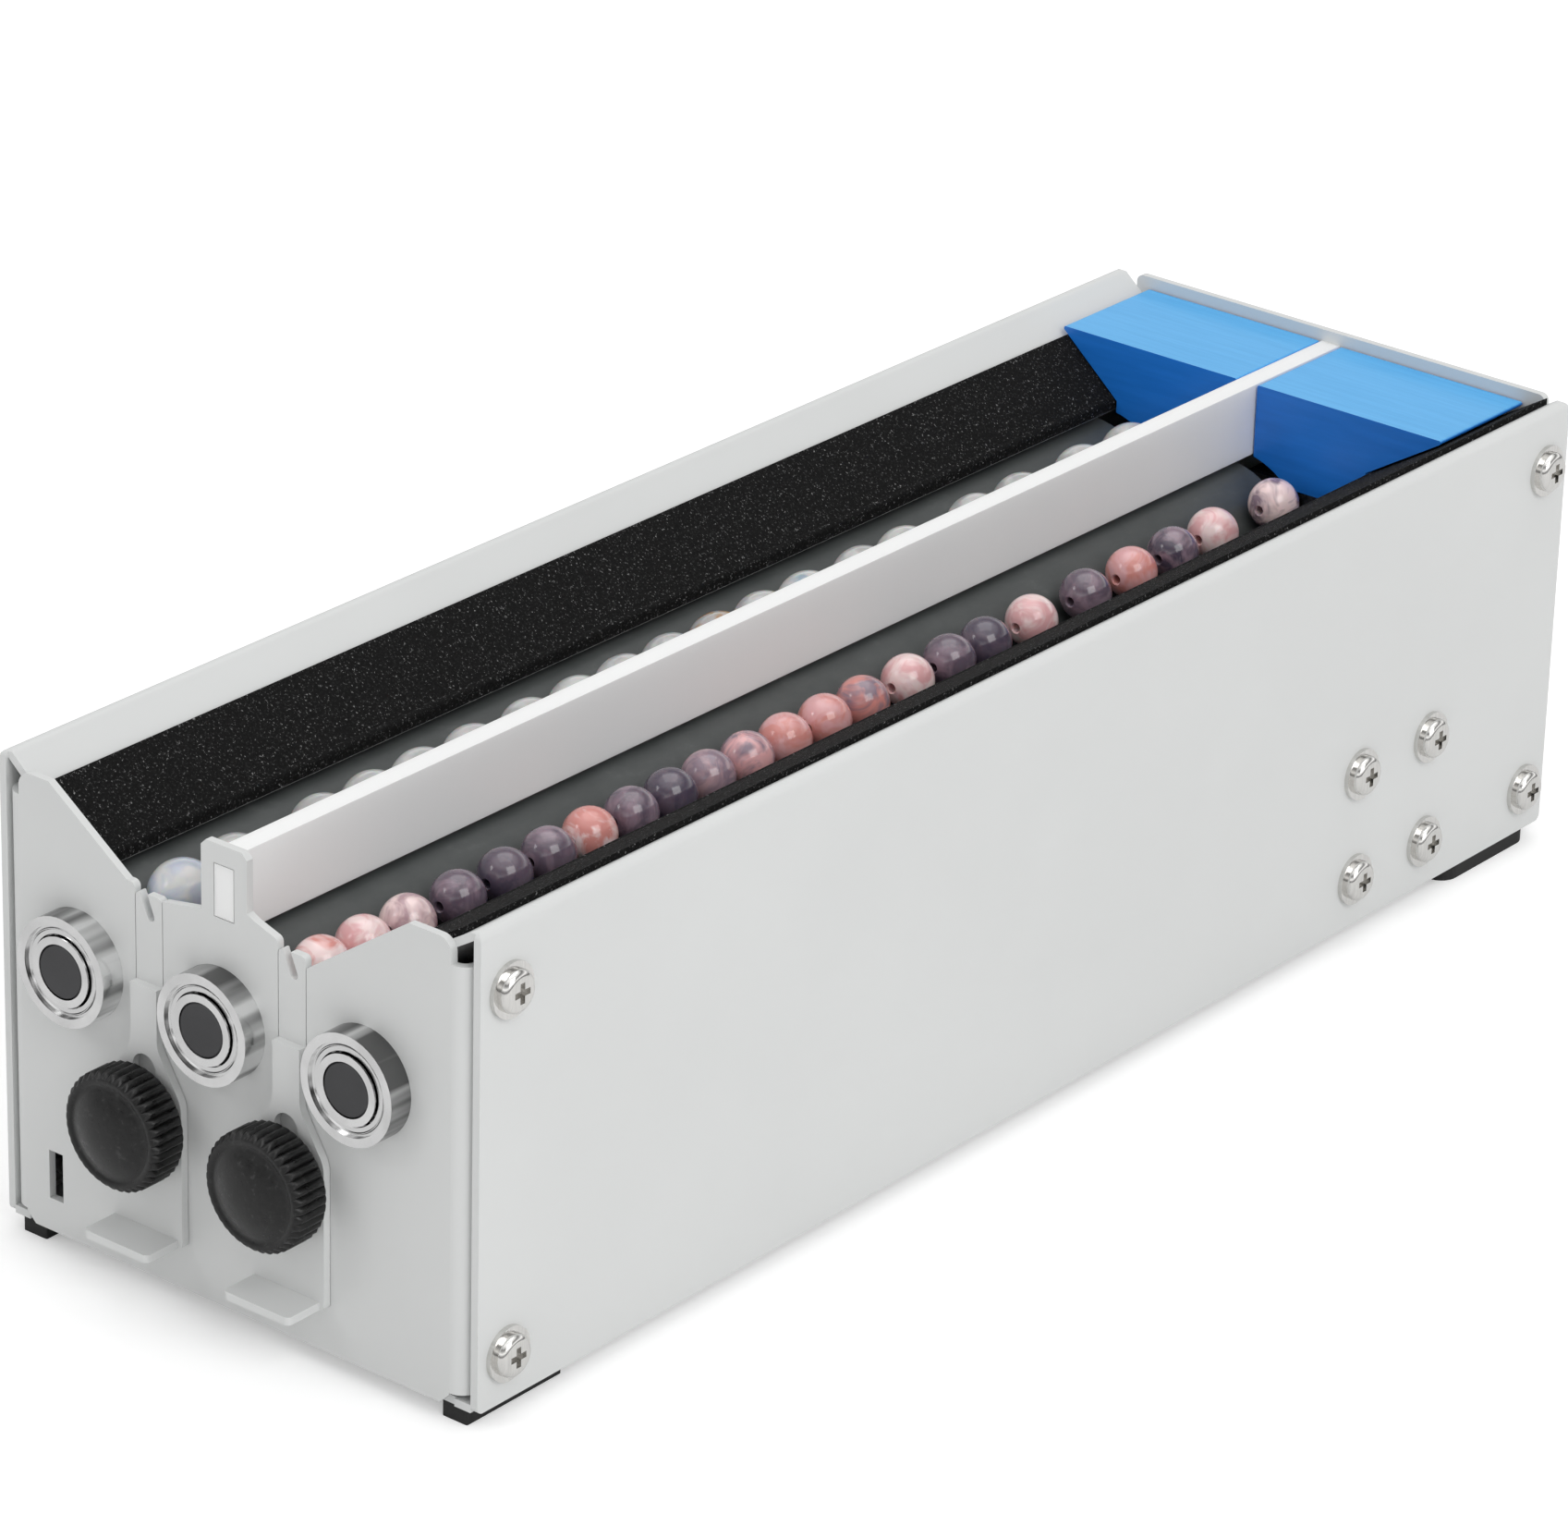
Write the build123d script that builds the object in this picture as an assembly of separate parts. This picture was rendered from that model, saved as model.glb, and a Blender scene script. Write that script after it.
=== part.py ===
from build123d import *
import os
from math import acos, atan2, cos, pi, radians, sin, sqrt, tan

os.makedirs("parts", exist_ok=True)

# Case, driving sizes in mm
body_width = 86.0
body_height = 70.0
body_length = 252.0
foot_height = 2.5
datum_drop = 70.0
sheet = 1.2
overrun = 5.0

# End plates
plate_top_drop = 1.6
rear_plate_top_drop = 0.1
rear_plate_corner_radius = 1.2
plate_bottom_rise = 0.3
plate_side_gap = 0.3
bend_radius = 2.8
flange_depth = 14.0
flange_top_drop = 3.6
flange_bottom_rise = 1.9
plate_corner_radius = 2.2
plate_foot_chamfer = 1.6
bench_hole_width = 2.6
bench_hole_height = 7.4
bench_hole_inset = 5.7
bench_hole_rise = 5.3

# Side panels and base
panel_setback = 0.8
panel_corner_radius = 1.1
base_flange_height = 6.0
base_end_inset = 16.0
base_flange_rear_inset = 62.0

# Roller group, whose middle line stands left of the case's middle
row_shift = -1.9
roller_pitch = 25.8
roller_axis_height = 43.2
roller_radius = 12.5
roller_core_radius = 10.5
roller_bore_clearance = 0.02
roller_front_gap = 1.2
roller_rear_gap = 26
core_end_inset = 2.0
spindle_radius = 4.0
spindle_chamfer = 0.3

# Bearings, 8 x 16 x 5
bearing_radius = 8.0
bearing_width = 5.0
outer_ring_wall = 1.3
inner_ring_wall = 1.1
shield_thickness = 0.35
shield_inset = 0.3
shield_gap = 0.25
ball_radius = 0.9
ball_count = 9

# Top outline of the front plate
slot_width = 5.1
slot_floor_height = 38.8
trough_shoulder_height = 58.5
trough_shoulder_width = 1.5
trough_start_height = 56.0
trough_middle_height = 57.3
trough_slope = 34.8
shoulder_radius = 0.9
tab_left_reach = 3.3
tab_right_reach = 4.9
tab_top_height = 69.0
tab_left_foot_height = 58.6
tab_right_foot_height = 60.5
tab_shoulder_width = 1.3
tab_shoulder_height = 59.8
tab_corner_chamfer = 0.9
tenon_foot_height = 58.4
tenon_height = 7.6
tenon_clearance = 0.15

# Divider between the two troughs
divider_thickness = 3.4
divider_shift = 0.8
divider_top_height = 68.0
divider_foot_height = 56.5

# Guides folded in from the panels, and their foam
fold_radius = 1.35
foam_thickness = 0.9
guide_lip_reach = 24.9
left_lip_height = 58.9
right_lip_height = 59.6
left_foam_reach = 33.9
guide_least_slope = 20.0
guide_most_slope = 60.0
guide_slope_steps = 40
right_foam_reach = 41.2
foam_nose_drop = 1.2
foam_nose_radius = 0.8
foam_end_gap = 0.3

# Stop blocks at the rear
block_length = 22.0
block_top_height = 68.0
block_step_reach = 23.6
block_slope_clearance = 0.35
block_arch_clearance = 0.8
block_floor_height = 52.7
block_clearance = 0.3
block_edge_radius = 0.35

# Beads on their rows
left_bead_radius = 5.0
right_bead_radius = 4.0
bead_hole_radius = 0.6
bead_roller_gap = 0.2

# Needle slides and their thumb knobs
slide_side_gap = 0.15
slide_face_gap = 0.1
slide_neck_top_height = 57.5
slide_step_height = 44.5
slide_waist_drop = 8.6
slide_flare_height = 7.0
slide_body_width = 13.4
slide_floor_height = 7.1
slide_lip_width = 11.8
slide_lip_depth = 7.3
slide_travel_down = 7.3
slide_travel_up = 3.0
slide_corner_radius = 0.8
slide_flare_share = 0.28
slide_slot_margin = 0.1
needle_notch_width = 1.3
needle_notch_depth = 3.4
needle_notch_offset = -0.9
needle_notch_tilt = -22.0
knob_height = 25.0
knob_radius = 8.7
knob_rib_depth = 0.45
knob_rib_count = 40
knob_body_length = 6.4
knob_dome_height = 0.8
knob_neck_radius = 4.2
knob_neck_length = 1.1
knob_play = 0.05
stud_radius = 2.0
stud_hole_radius = 2.2
stud_tail = 2.0
clamp_nut_radius = 4.0
clamp_nut_thickness = 3.0
thread_gap = 0.04

# Case screws
screw_radius = 1.95
screw_hole_radius = 2.1
screw_length = 6.4
screw_washer_radius = 4.0
screw_washer_thickness = 0.7
screw_head_radius = 3.1
screw_head_height = 1.5
screw_crown_share = 0.75
screw_recess_width = 0.9
screw_recess_length = 3.0
screw_recess_depth = 1.2
corner_screw_inset = 6.5
corner_screw_low = 7.2
corner_screw_high = 60.5
clinch_nut_radius = 3.2
clinch_nut_thickness = 1.5

# Feet
front_foot_width = 4.4
rear_foot_width = 8.0
front_foot_length = 19.0
rear_foot_length = 23.0
front_foot_side_inset = 2.2
rear_foot_side_inset = 0.4
front_foot_inset = 1.3
rear_foot_inset = 3.0
front_foot_corner_radius = 0.3
rear_foot_corner_radius = 3.0

# Gear motor and its bracket
motor_axis_inset = 15.0
motor_axis_height = 16.5
gearbox_radius = 12.5
gearbox_length = 21.0
can_radius = 12.2
can_length = 30.8
can_boss_radius = 5.0
can_boss_length = 1.8
motor_shaft_radius = 2.0
motor_shaft_length = 14.0
bracket_sheet = 2.0
bracket_screw_spacing_y = 18.2
bracket_screw_spacing_z = 17.4
bracket_screw_margin = 4.4
bracket_screw_inset = 33.8
bracket_screw_length = 3.4
bracket_hub_radius = 3.6
face_screw_spacing = 17.0
small_screw_radius = 1.5
small_screw_hole_radius = 1.7
small_screw_head_radius = 2.8
small_screw_head_height = 1.8
screw_crown_share = 0.75
small_screw_length = 5.0
terminal_width = 2.2
terminal_length = 5.0
terminal_thickness = 0.5
terminal_spacing = 14.0

# Toothed pulleys and belts
pulley_tooth_radius = 6.11
motor_pulley_tooth_radius = 4.84
pulley_flange_extra = 1.5
pulley_flange = 0.8
belt_width = 5.2
belt_side_play = 0.2
belt_thickness = 1.3
belt_pulley_gap = 0.15
pulley_teeth = 20
motor_pulley_teeth = 16
tooth_gap_radius = 0.5
pulley_start_gap = 1.0
pulley_row_gap = 0.4

# Control board, seated on the base
board_width = 34.0
board_length = 44.0
board_thickness = 1.6
board_post_height = 6.0
board_post_radius = 2.75
board_hole_inset = 3.2
board_x = -20.0
board_rear_gap = 22.0
chip_width = 10.0
chip_depth = 9.0
chip_height = 4.5
capacitor_radius = 4.0
capacitor_height = 11.0
plug_block_width = 10.0
plug_block_depth = 7.6
plug_block_height = 9.0

# Rear controls
control_height = 15.0
inlet_x = -27.0
inlet_flange_radius = 6.0
inlet_flange_thickness = 1.6
inlet_body_radius = 4.9
inlet_body_length = 12.0
inlet_bore_radius = 2.8
inlet_bore_depth = 10.0
inlet_pin_radius = 1.0
inlet_pin_inset = 1.5
switch_x = -7.0
switch_bezel_width = 15.0
switch_bezel_height = 10.6
switch_bezel_thickness = 1.6
switch_body_width = 12.8
switch_body_height = 8.6
switch_body_length = 11.0
switch_wall = 1.1
switch_pocket_depth = 6.4
rocker_gap = 0.15
rocker_side_gap = 0.8
rocker_radius = 7.2
rocker_axis_depth = 3.9
rocker_tilt = 6.0
rocker_pin_radius = 0.7
rocker_relief_depth = 1.3
speed_x = 13.0
pot_radius = 8.2
pot_length = 8.5
pot_bush_radius = 3.4
pot_bush_length = 5.0
pot_nut_radius = 5.0
pot_nut_thickness = 2.0
pot_shaft_radius = 3.0
speed_knob_radius = 7.5
speed_knob_length = 9.05
speed_knob_skirt_gap = 0.6
speed_knob_cavity_radius = 5.6
speed_knob_cavity_depth = 4.4
speed_knob_flutes = 18
speed_knob_flute_radius = 0.8
speed_pointer_width = 0.9

# Places that follow the sizes above
half_width = body_width / 2
wall = half_width - sheet
y_front = -body_length / 2
y_rear = body_length / 2
floor = foot_height
datum = floor + body_height - datum_drop
roller_xs = {
    "left": row_shift - roller_pitch,
    "middle": row_shift,
    "right": row_shift + roller_pitch,
}
divider_x = row_shift + divider_shift
row_xs = {"left": row_shift - roller_pitch / 2, "right": row_shift + roller_pitch / 2}
roller_z = datum + roller_axis_height
lip_heights = {-1: left_lip_height, 1: right_lip_height}
plate_flat = wall - plate_side_gap - bend_radius
plate_top = floor + body_height - plate_top_drop
plate_bottom = floor + plate_bottom_rise
flange_low = plate_bottom + flange_bottom_rise
flange_high = plate_top - flange_top_drop
bearing_stand_out = bearing_width - sheet
spindle_front = y_front - bearing_stand_out
spindle_rear = y_rear + bearing_stand_out
sleeve_front = y_front + sheet + roller_front_gap
sleeve_rear = y_rear - roller_rear_gap
roller_length = sleeve_rear - sleeve_front
pulley_length = belt_width + 2 * belt_side_play + 2 * pulley_flange
pulley_fronts = {
    belt: sleeve_rear + pulley_start_gap + step * (pulley_length + pulley_row_gap)
    for step, belt in enumerate(("drive", "right", "left"))
}
motor_x = wall - motor_axis_inset
motor_z = floor + motor_axis_height
bead_radii = {"left": left_bead_radius, "right": right_bead_radius}
bead_zs = {
    row: roller_z + sqrt((roller_radius + radius + bead_roller_gap) ** 2 - (roller_pitch / 2) ** 2)
    for row, radius in bead_radii.items()
}
screw_ys = [y_front + corner_screw_inset, y_rear - corner_screw_inset]
screw_zs = [floor + corner_screw_low, datum + corner_screw_high]
bracket_screw_ys = [
    y_rear - bracket_screw_inset - bracket_screw_spacing_y,
    y_rear - bracket_screw_inset,
]
bracket_face_rear = bracket_screw_ys[1] + bracket_screw_margin
bracket_screw_zs = [motor_z - bracket_screw_spacing_z / 2, motor_z + bracket_screw_spacing_z / 2]
knob_z = datum + knob_height
control_z = floor + control_height

# Middles of the beads, as shares of the roller's length from its front end
right_bead_shares = [
    0.0143, 0.0514, 0.0903, 0.1351, 0.1775, 0.2178, 0.2563, 0.2956, 0.3327, 0.3694, 0.4074, 0.4450,
    0.4848, 0.5233, 0.5698, 0.6131, 0.6512, 0.7008, 0.7594, 0.8104, 0.8569, 0.9025, 0.9727,
]
left_bead_shares = [
    0.0190, 0.0655, 0.1430, 0.1885, 0.2340, 0.2818, 0.3354, 0.3820, 0.4275, 0.4730, 0.5205, 0.5660,
    0.6115, 0.6690, 0.7150, 0.7920, 0.8421, 0.9110, 0.9651,
]


def box(x0, x1, y0, y1, z0, z1):
    """A block between two corners."""
    middle = ((x0 + x1) / 2, (y0 + y1) / 2, (z0 + z1) / 2)
    return Pos(*middle) * Box(x1 - x0, y1 - y0, z1 - z0)


def rod_y(x, z, y0, y1, radius):
    """A round bar along the case."""
    return Pos(x, (y0 + y1) / 2, z) * (Rot(90, 0, 0) * Cylinder(radius, y1 - y0))


def rod_x(y, z, x0, x1, radius):
    """A round bar across the case."""
    return Pos((x0 + x1) / 2, y, z) * (Rot(0, 90, 0) * Cylinder(radius, x1 - x0))


def rod_z(x, y, z0, z1, radius):
    """An upright round bar."""
    return Pos(x, y, (z0 + z1) / 2) * Cylinder(radius, z1 - z0)


def prism_y(face, y0, y1):
    """A face drawn as (x, z), run along the case."""
    return Pos(0, y1, 0) * (Rot(90, 0, 0) * extrude(face, y1 - y0))


def prism_x(face, x0, x1):
    """A face drawn as (y, z), run across the case."""
    return Plane.YZ.offset(x0) * extrude(face, x1 - x0)


def outline(points):
    """A flat face inside a closed line of points."""
    return make_face(Polyline(*points, close=True))


def ring_y(x, z, y0, y1, outer, inner):
    """A tube along the case."""
    return rod_y(x, z, y0, y1, outer) - rod_y(x, z, y0 - overrun, y1 + overrun, inner)


def save(name, *solids):
    """Write one node, as one solid or as a group of separate solids."""
    pieces = [solid for shape in solids for solid in shape.solids()]
    shape = pieces[0] if len(pieces) == 1 else Compound(children=pieces)
    shape.label = name
    export_step(shape, f"parts/{name}.step")


def bent_shell(y_face, inward):
    """The bent sides of an end plate, seen from above and run up the flange's height."""
    outer = wall - plate_side_gap
    y_tip = y_face + inward * flange_depth
    y_back = y_face + inward * overrun * 2
    blank = Polyline((-outer, y_face), (outer, y_face), (outer, y_tip), (-outer, y_tip), close=True)
    face = make_face(blank)
    corners = [v for v in face.vertices() if abs(v.Y - y_face) < sheet / 2]
    face = fillet(corners, bend_radius)
    inner = outer - sheet
    y_in = y_face + inward * sheet
    y_out = y_tip + inward * overrun
    hollow = make_face(Polyline((-inner, y_in), (inner, y_in), (inner, y_out), (-inner, y_out), close=True))
    corners = [v for v in hollow.vertices() if abs(v.Y - y_in) < sheet / 2]
    hollow = fillet(corners, bend_radius - sheet)
    web = Pos(0, y_face) * Rectangle(2 * plate_flat, 2 * overrun)
    return Pos(0, 0, flange_low) * extrude(face - hollow - web, flange_high - flange_low)


def bearing_seats(y0, y1):
    return [rod_y(x, roller_z, y0, y1, bearing_radius) for x in roller_xs.values()]


def flange_screw_holes(y):
    return [rod_x(y, z, -half_width, half_width, screw_hole_radius) for z in screw_zs]


def front_top_points():
    """The front plate's upper line, from its right corner to its left corner."""
    slope = tan(radians(trough_slope))
    left_row = row_xs["left"]
    right_row = row_xs["right"]
    half_slot = slot_width / 2
    start = datum + trough_start_height
    shoulder = datum + trough_shoulder_height
    slot_floor = datum + slot_floor_height
    tab_top = datum + tab_top_height
    right_slope_top = right_row + half_slot + (plate_top - start) / slope
    left_slope_foot = left_row - half_slot - trough_shoulder_width
    left_slope_top = left_slope_foot - (plate_top - shoulder) / slope
    tab_left = row_shift - tab_left_reach
    tab_right = row_shift + tab_right_reach
    return [
        (plate_flat, plate_top),
        (right_slope_top, plate_top),
        (right_row + half_slot, start),
        (right_row + half_slot, slot_floor),
        (right_row - half_slot, slot_floor),
        (right_row - half_slot, shoulder),
        (tab_right + tab_shoulder_width, datum + tab_shoulder_height),
        (tab_right, datum + tab_right_foot_height),
        (tab_right, tab_top - tab_corner_chamfer),
        (tab_right - tab_corner_chamfer, tab_top),
        (tab_left + tab_corner_chamfer, tab_top),
        (tab_left, tab_top - tab_corner_chamfer),
        (tab_left, datum + tab_left_foot_height),
        (left_row + half_slot, datum + trough_middle_height),
        (left_row + half_slot, slot_floor),
        (left_row - half_slot, slot_floor),
        (left_row - half_slot, shoulder),
        (left_slope_foot, shoulder),
        (left_slope_top, plate_top),
        (-plate_flat, plate_top),
    ]


def plate_face(top_points):
    """A flat end plate with chamfered lower corners."""
    low = [
        (-plate_flat, plate_bottom + plate_foot_chamfer),
        (-plate_flat + plate_foot_chamfer, plate_bottom),
        (plate_flat - plate_foot_chamfer, plate_bottom),
        (plate_flat, plate_bottom + plate_foot_chamfer),
    ]
    return outline(top_points + low)


def near_points(face, places, reach):
    """The corners of a face that lie at the given places."""
    return [
        v for v in face.vertices()
        if any(abs(v.X - x) < reach and abs(v.Y - z) < reach for x, z in places)
    ]


def make_front_plate():
    points = front_top_points()
    face = plate_face(points)
    face = fillet(near_points(face, [points[0], points[-1]], sheet / 2), plate_corner_radius)
    shoulders = [points[5], points[16]]
    face = fillet(near_points(face, shoulders, sheet / 4), shoulder_radius)
    plate = prism_y(face, y_front, y_front + sheet) + bent_shell(y_front, 1)
    cuts = bearing_seats(y_front - overrun, y_front + sheet + overrun)
    cuts += flange_screw_holes(screw_ys[0])
    tenon_low = datum + tenon_foot_height
    half_tenon = divider_thickness / 2 + tenon_clearance
    cuts.append(box(
        divider_x - half_tenon, divider_x + half_tenon, y_front - overrun, y_front + overrun,
        tenon_low - tenon_clearance, tenon_low + tenon_height + tenon_clearance,
    ))
    hole_x = -plate_flat + bench_hole_inset
    hole_z = floor + bench_hole_rise
    half_hole = bench_hole_width / 2
    cuts.append(box(
        hole_x - half_hole, hole_x + half_hole, y_front - overrun, y_front + overrun,
        hole_z, hole_z + bench_hole_height,
    ))
    for x in row_xs.values():
        cuts.append(rod_y(x, knob_z, y_front - overrun, y_front + sheet + overrun, stud_hole_radius))
    return plate - cuts


def make_rear_plate():
    top = [(turn * plate_flat, floor + body_height - rear_plate_top_drop) for turn in (1, -1)]
    face = plate_face(top)
    face = fillet(near_points(face, top, sheet / 2), rear_plate_corner_radius)
    plate = prism_y(face, y_rear - sheet, y_rear) + bent_shell(y_rear, -1)
    y0 = y_rear - sheet - overrun
    y1 = y_rear + overrun
    cuts = bearing_seats(y0, y1)
    cuts += flange_screw_holes(screw_ys[1])
    cuts.append(rod_y(inlet_x, control_z, y0, y1, inlet_body_radius))
    half_w = switch_body_width / 2
    half_h = switch_body_height / 2
    cuts.append(box(switch_x - half_w, switch_x + half_w, y0, y1, control_z - half_h, control_z + half_h))
    cuts.append(rod_y(speed_x, control_z, y0, y1, pot_bush_radius))
    tenon_low = datum + tenon_foot_height
    half_tenon = divider_thickness / 2 + tenon_clearance
    cuts.append(box(
        divider_x - half_tenon, divider_x + half_tenon, y0, y1,
        tenon_low - tenon_clearance, tenon_low + tenon_height + tenon_clearance,
    ))
    return plate - cuts


def make_base_plate():
    """The floor of the case, with two upturned flanges against the panels."""
    y0 = y_front + sheet
    y1 = y_rear - sheet
    base = box(-wall, wall, y0, y1, floor, floor + sheet)
    ears = [
        box(*sorted((side * wall, side * (plate_flat + plate_side_gap))), *ends, floor, floor + sheet)
        for side in (-1, 1)
        for ends in ((y_front + panel_setback, y0 + sheet), (y1 - sheet, y_rear - panel_setback))
    ]
    base += ears
    for side in (-1, 1):
        x0, x1 = sorted((side * wall, side * (wall - sheet)))
        flange_ends = (y_front + base_end_inset, y_rear - base_flange_rear_inset)
        base += box(x0, x1, *flange_ends, floor, floor + base_flange_height)
    return base


def wall_reach(side):
    """Distance from the middle line of the rollers to one panel."""
    return wall - side * row_shift


def fold_top(angle):
    """Height at which a sheet folded in at this angle would meet the panel's outer face, unrounded."""
    return body_height + fold_radius * (tan(angle) + 1 / cos(angle) - 1)


def guide_slope(side):
    """Angle of one guide, halved in on between its lip and the fold at the panel's top."""
    low = radians(guide_least_slope)
    high = radians(guide_most_slope)
    run = wall_reach(side) + sheet - guide_lip_reach
    for step in range(guide_slope_steps):
        middle = (low + high) / 2
        rise = fold_top(middle) + floor - datum - lip_heights[side] + foam_thickness / cos(middle)
        low, high = (middle, high) if run * tan(middle) < rise else (low, middle)
    return (low + high) / 2


slopes = {side: guide_slope(side) for side in (-1, 1)}


def guide_height(side, reach, depth=0):
    """Height of a plane at some depth under the foam's face, at a reach from the middle line."""
    slope = slopes[side]
    return datum + lip_heights[side] + (reach - guide_lip_reach) * tan(slope) - depth / cos(slope)


def placed(side, points):
    return [(row_shift + side * reach, height) for reach, height in points]


def make_panel(side):
    """One side panel, its top folded in and down to guide the beads; side is 1 on the right."""
    inner = wall_reach(side)
    outer = inner + sheet
    upper = foam_thickness
    lower = foam_thickness + sheet
    lip = guide_lip_reach
    section = [
        (lip, guide_height(side, lip, upper)), (outer, guide_height(side, outer, upper)), (outer, floor),
        (inner, floor), (inner, guide_height(side, inner, lower)), (lip, guide_height(side, lip, lower)),
    ]
    face = outline(placed(side, section))
    face = fillet(near_points(face, placed(side, section[4:5]), sheet / 4), fold_radius - sheet)
    face = fillet(near_points(face, placed(side, section[1:2]), sheet / 4), fold_radius)
    panel = prism_y(face, y_front + panel_setback, y_rear - panel_setback)
    flat = Pos(0, floor + body_height / 2) * RectangleRounded(
        body_length - 2 * panel_setback, body_height, panel_corner_radius
    )
    panel &= prism_x(flat, *sorted((row_shift, side * (half_width + overrun))))
    for y0, y1 in ((y_front - overrun, y_front + sheet), (y_rear - sheet, y_rear + overrun)):
        panel -= box(*sorted((row_shift, side * wall)), y0, y1, floor, floor + body_height + overrun)
    holes = [
        rod_x(y, z, side * half_width - overrun, side * half_width + overrun, screw_hole_radius)
        for y in screw_ys for z in screw_zs
    ]
    if side > 0:
        holes += [
            rod_x(y, z, half_width - overrun, half_width + overrun, screw_hole_radius)
            for y in bracket_screw_ys for z in bracket_screw_zs
        ]
    return panel - holes


def slope_band(side, outer_reach, thickness):
    """The foam's section on the slope, as points in reach and height."""
    return [
        (guide_lip_reach, guide_height(side, guide_lip_reach, thickness)),
        (guide_lip_reach, guide_height(side, guide_lip_reach)),
        (outer_reach, guide_height(side, outer_reach)),
        (outer_reach, guide_height(side, outer_reach, thickness)),
    ]


def make_foam(side, outer_reach):
    """The foam stuck on one guide, turned down over the guide's lip."""
    cover = slope_band(side, outer_reach, foam_thickness)
    nose_top = guide_height(side, guide_lip_reach)
    nose_low = nose_top - foam_thickness - foam_nose_drop
    nose = [
        (guide_lip_reach - foam_thickness, nose_low),
        (guide_lip_reach - foam_thickness, nose_top),
        (guide_lip_reach, nose_top),
        (guide_lip_reach, nose_low),
    ]
    y0 = y_front + sheet + foam_end_gap
    y1 = y_rear - sheet - foam_end_gap
    foam = prism_y(outline(placed(side, cover)), y0, y1) + prism_y(outline(placed(side, nose)), y0, y1)
    nose_x = row_shift + side * (guide_lip_reach - foam_thickness)
    edges = [
        e for e in foam.edges().filter_by(Axis.Y)
        if abs(e.center().X - nose_x) < foam_thickness / 4
        and abs(e.center().Z - nose_top) < foam_thickness / 4
    ]
    return fillet(edges, foam_nose_radius)


def make_divider():
    """The bar between the troughs, with a tenon through each end plate."""
    half = divider_thickness / 2
    low = datum + divider_foot_height
    high = datum + divider_top_height
    bar = box(divider_x - half, divider_x + half, y_front + sheet, y_rear - sheet, low, high)
    tenon_low = datum + tenon_foot_height
    return bar + box(divider_x - half, divider_x + half, y_front, y_rear, tenon_low, tenon_low + tenon_height)


def make_block(side):
    """The stop block's outline, arched over two rollers and sloped beside the guide."""
    inner = divider_thickness / 2 + side * divider_shift + block_clearance
    floor_z = datum + block_floor_height
    top = datum + block_top_height
    slope = slopes[side]
    clear_rise = top - guide_height(side, guide_lip_reach) - block_slope_clearance / cos(slope)
    clear_reach = guide_lip_reach + clear_rise / tan(slope)
    step_z = guide_height(side, block_step_reach) + block_slope_clearance / cos(slope)
    points = [
        (inner, floor_z),
        (inner, top),
        (clear_reach, top),
        (block_step_reach, step_z),
        (block_step_reach, floor_z),
    ]
    y1 = y_rear - sheet - block_clearance
    y0 = y1 - block_length
    block = prism_y(outline(placed(side, points)), y0, y1)
    block = fillet(block.edges().filter_by(Axis.Y).group_by(Axis.Z)[-1], block_edge_radius)
    arch = roller_radius + block_arch_clearance
    arches = [
        rod_y(row_shift + side * reach, roller_z, y0 - overrun, y1 + overrun, arch)
        for reach in (0, roller_pitch)
    ]
    return block - arches


def make_roller_core(x):
    """A turned core with its two journals."""
    body = rod_y(x, roller_z, sleeve_front + core_end_inset, sleeve_rear - core_end_inset, roller_core_radius)
    spindle = rod_y(x, roller_z, spindle_front, spindle_rear, spindle_radius)
    rims = spindle.edges().filter_by(GeomType.CIRCLE)
    return chamfer(rims, spindle_chamfer) + body


def make_sleeve(x):
    return ring_y(x, roller_z, sleeve_front, sleeve_rear, roller_radius, roller_core_radius)


def bearing_ys():
    return [(spindle_front, y_front + sheet), (y_rear - sheet, spindle_rear)]


def make_outer_rings():
    rings = []
    for x in roller_xs.values():
        for y0, y1 in bearing_ys():
            ring = ring_y(x, roller_z, y0, y1, bearing_radius, bearing_radius - outer_ring_wall)
            middle = (y0 + y1) / 2
            groove = rod_y(x, roller_z, middle - ball_radius, middle + ball_radius, ball_race()[1])
            rings.append(ring - groove)
    return rings


def ball_race():
    """Radius of the balls' circle, and the radii of the two grooves that they run in."""
    outer = bearing_radius - outer_ring_wall
    inner = spindle_radius + inner_ring_wall
    middle = (outer + inner) / 2
    return middle, middle + ball_radius + roller_bore_clearance, middle - ball_radius - roller_bore_clearance


def make_inner_rings(x):
    rings = []
    for y0, y1 in bearing_ys():
        ring = ring_y(x, roller_z, y0, y1, spindle_radius + inner_ring_wall, spindle_radius)
        middle = (y0 + y1) / 2
        inner = ball_race()[2]
        groove = ring_y(x, roller_z, middle - ball_radius, middle + ball_radius, bearing_radius, inner)
        rings.append(ring - groove)
    return rings


def make_shields():
    shields = []
    outer = bearing_radius - outer_ring_wall
    inner = spindle_radius + inner_ring_wall + shield_gap
    for x in roller_xs.values():
        for y0, y1 in bearing_ys():
            for y in (y0 + shield_inset, y1 - shield_inset - shield_thickness):
                shields.append(ring_y(x, roller_z, y, y + shield_thickness, outer, inner))
    return shields


def make_balls():
    balls = []
    race = ball_race()[0]
    for x in roller_xs.values():
        for y0, y1 in bearing_ys():
            for step in range(ball_count):
                turn = 2 * pi * step / ball_count
                place = (x + race * cos(turn), (y0 + y1) / 2, roller_z + race * sin(turn))
                balls.append(Pos(*place) * Sphere(ball_radius))
    return balls


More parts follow.
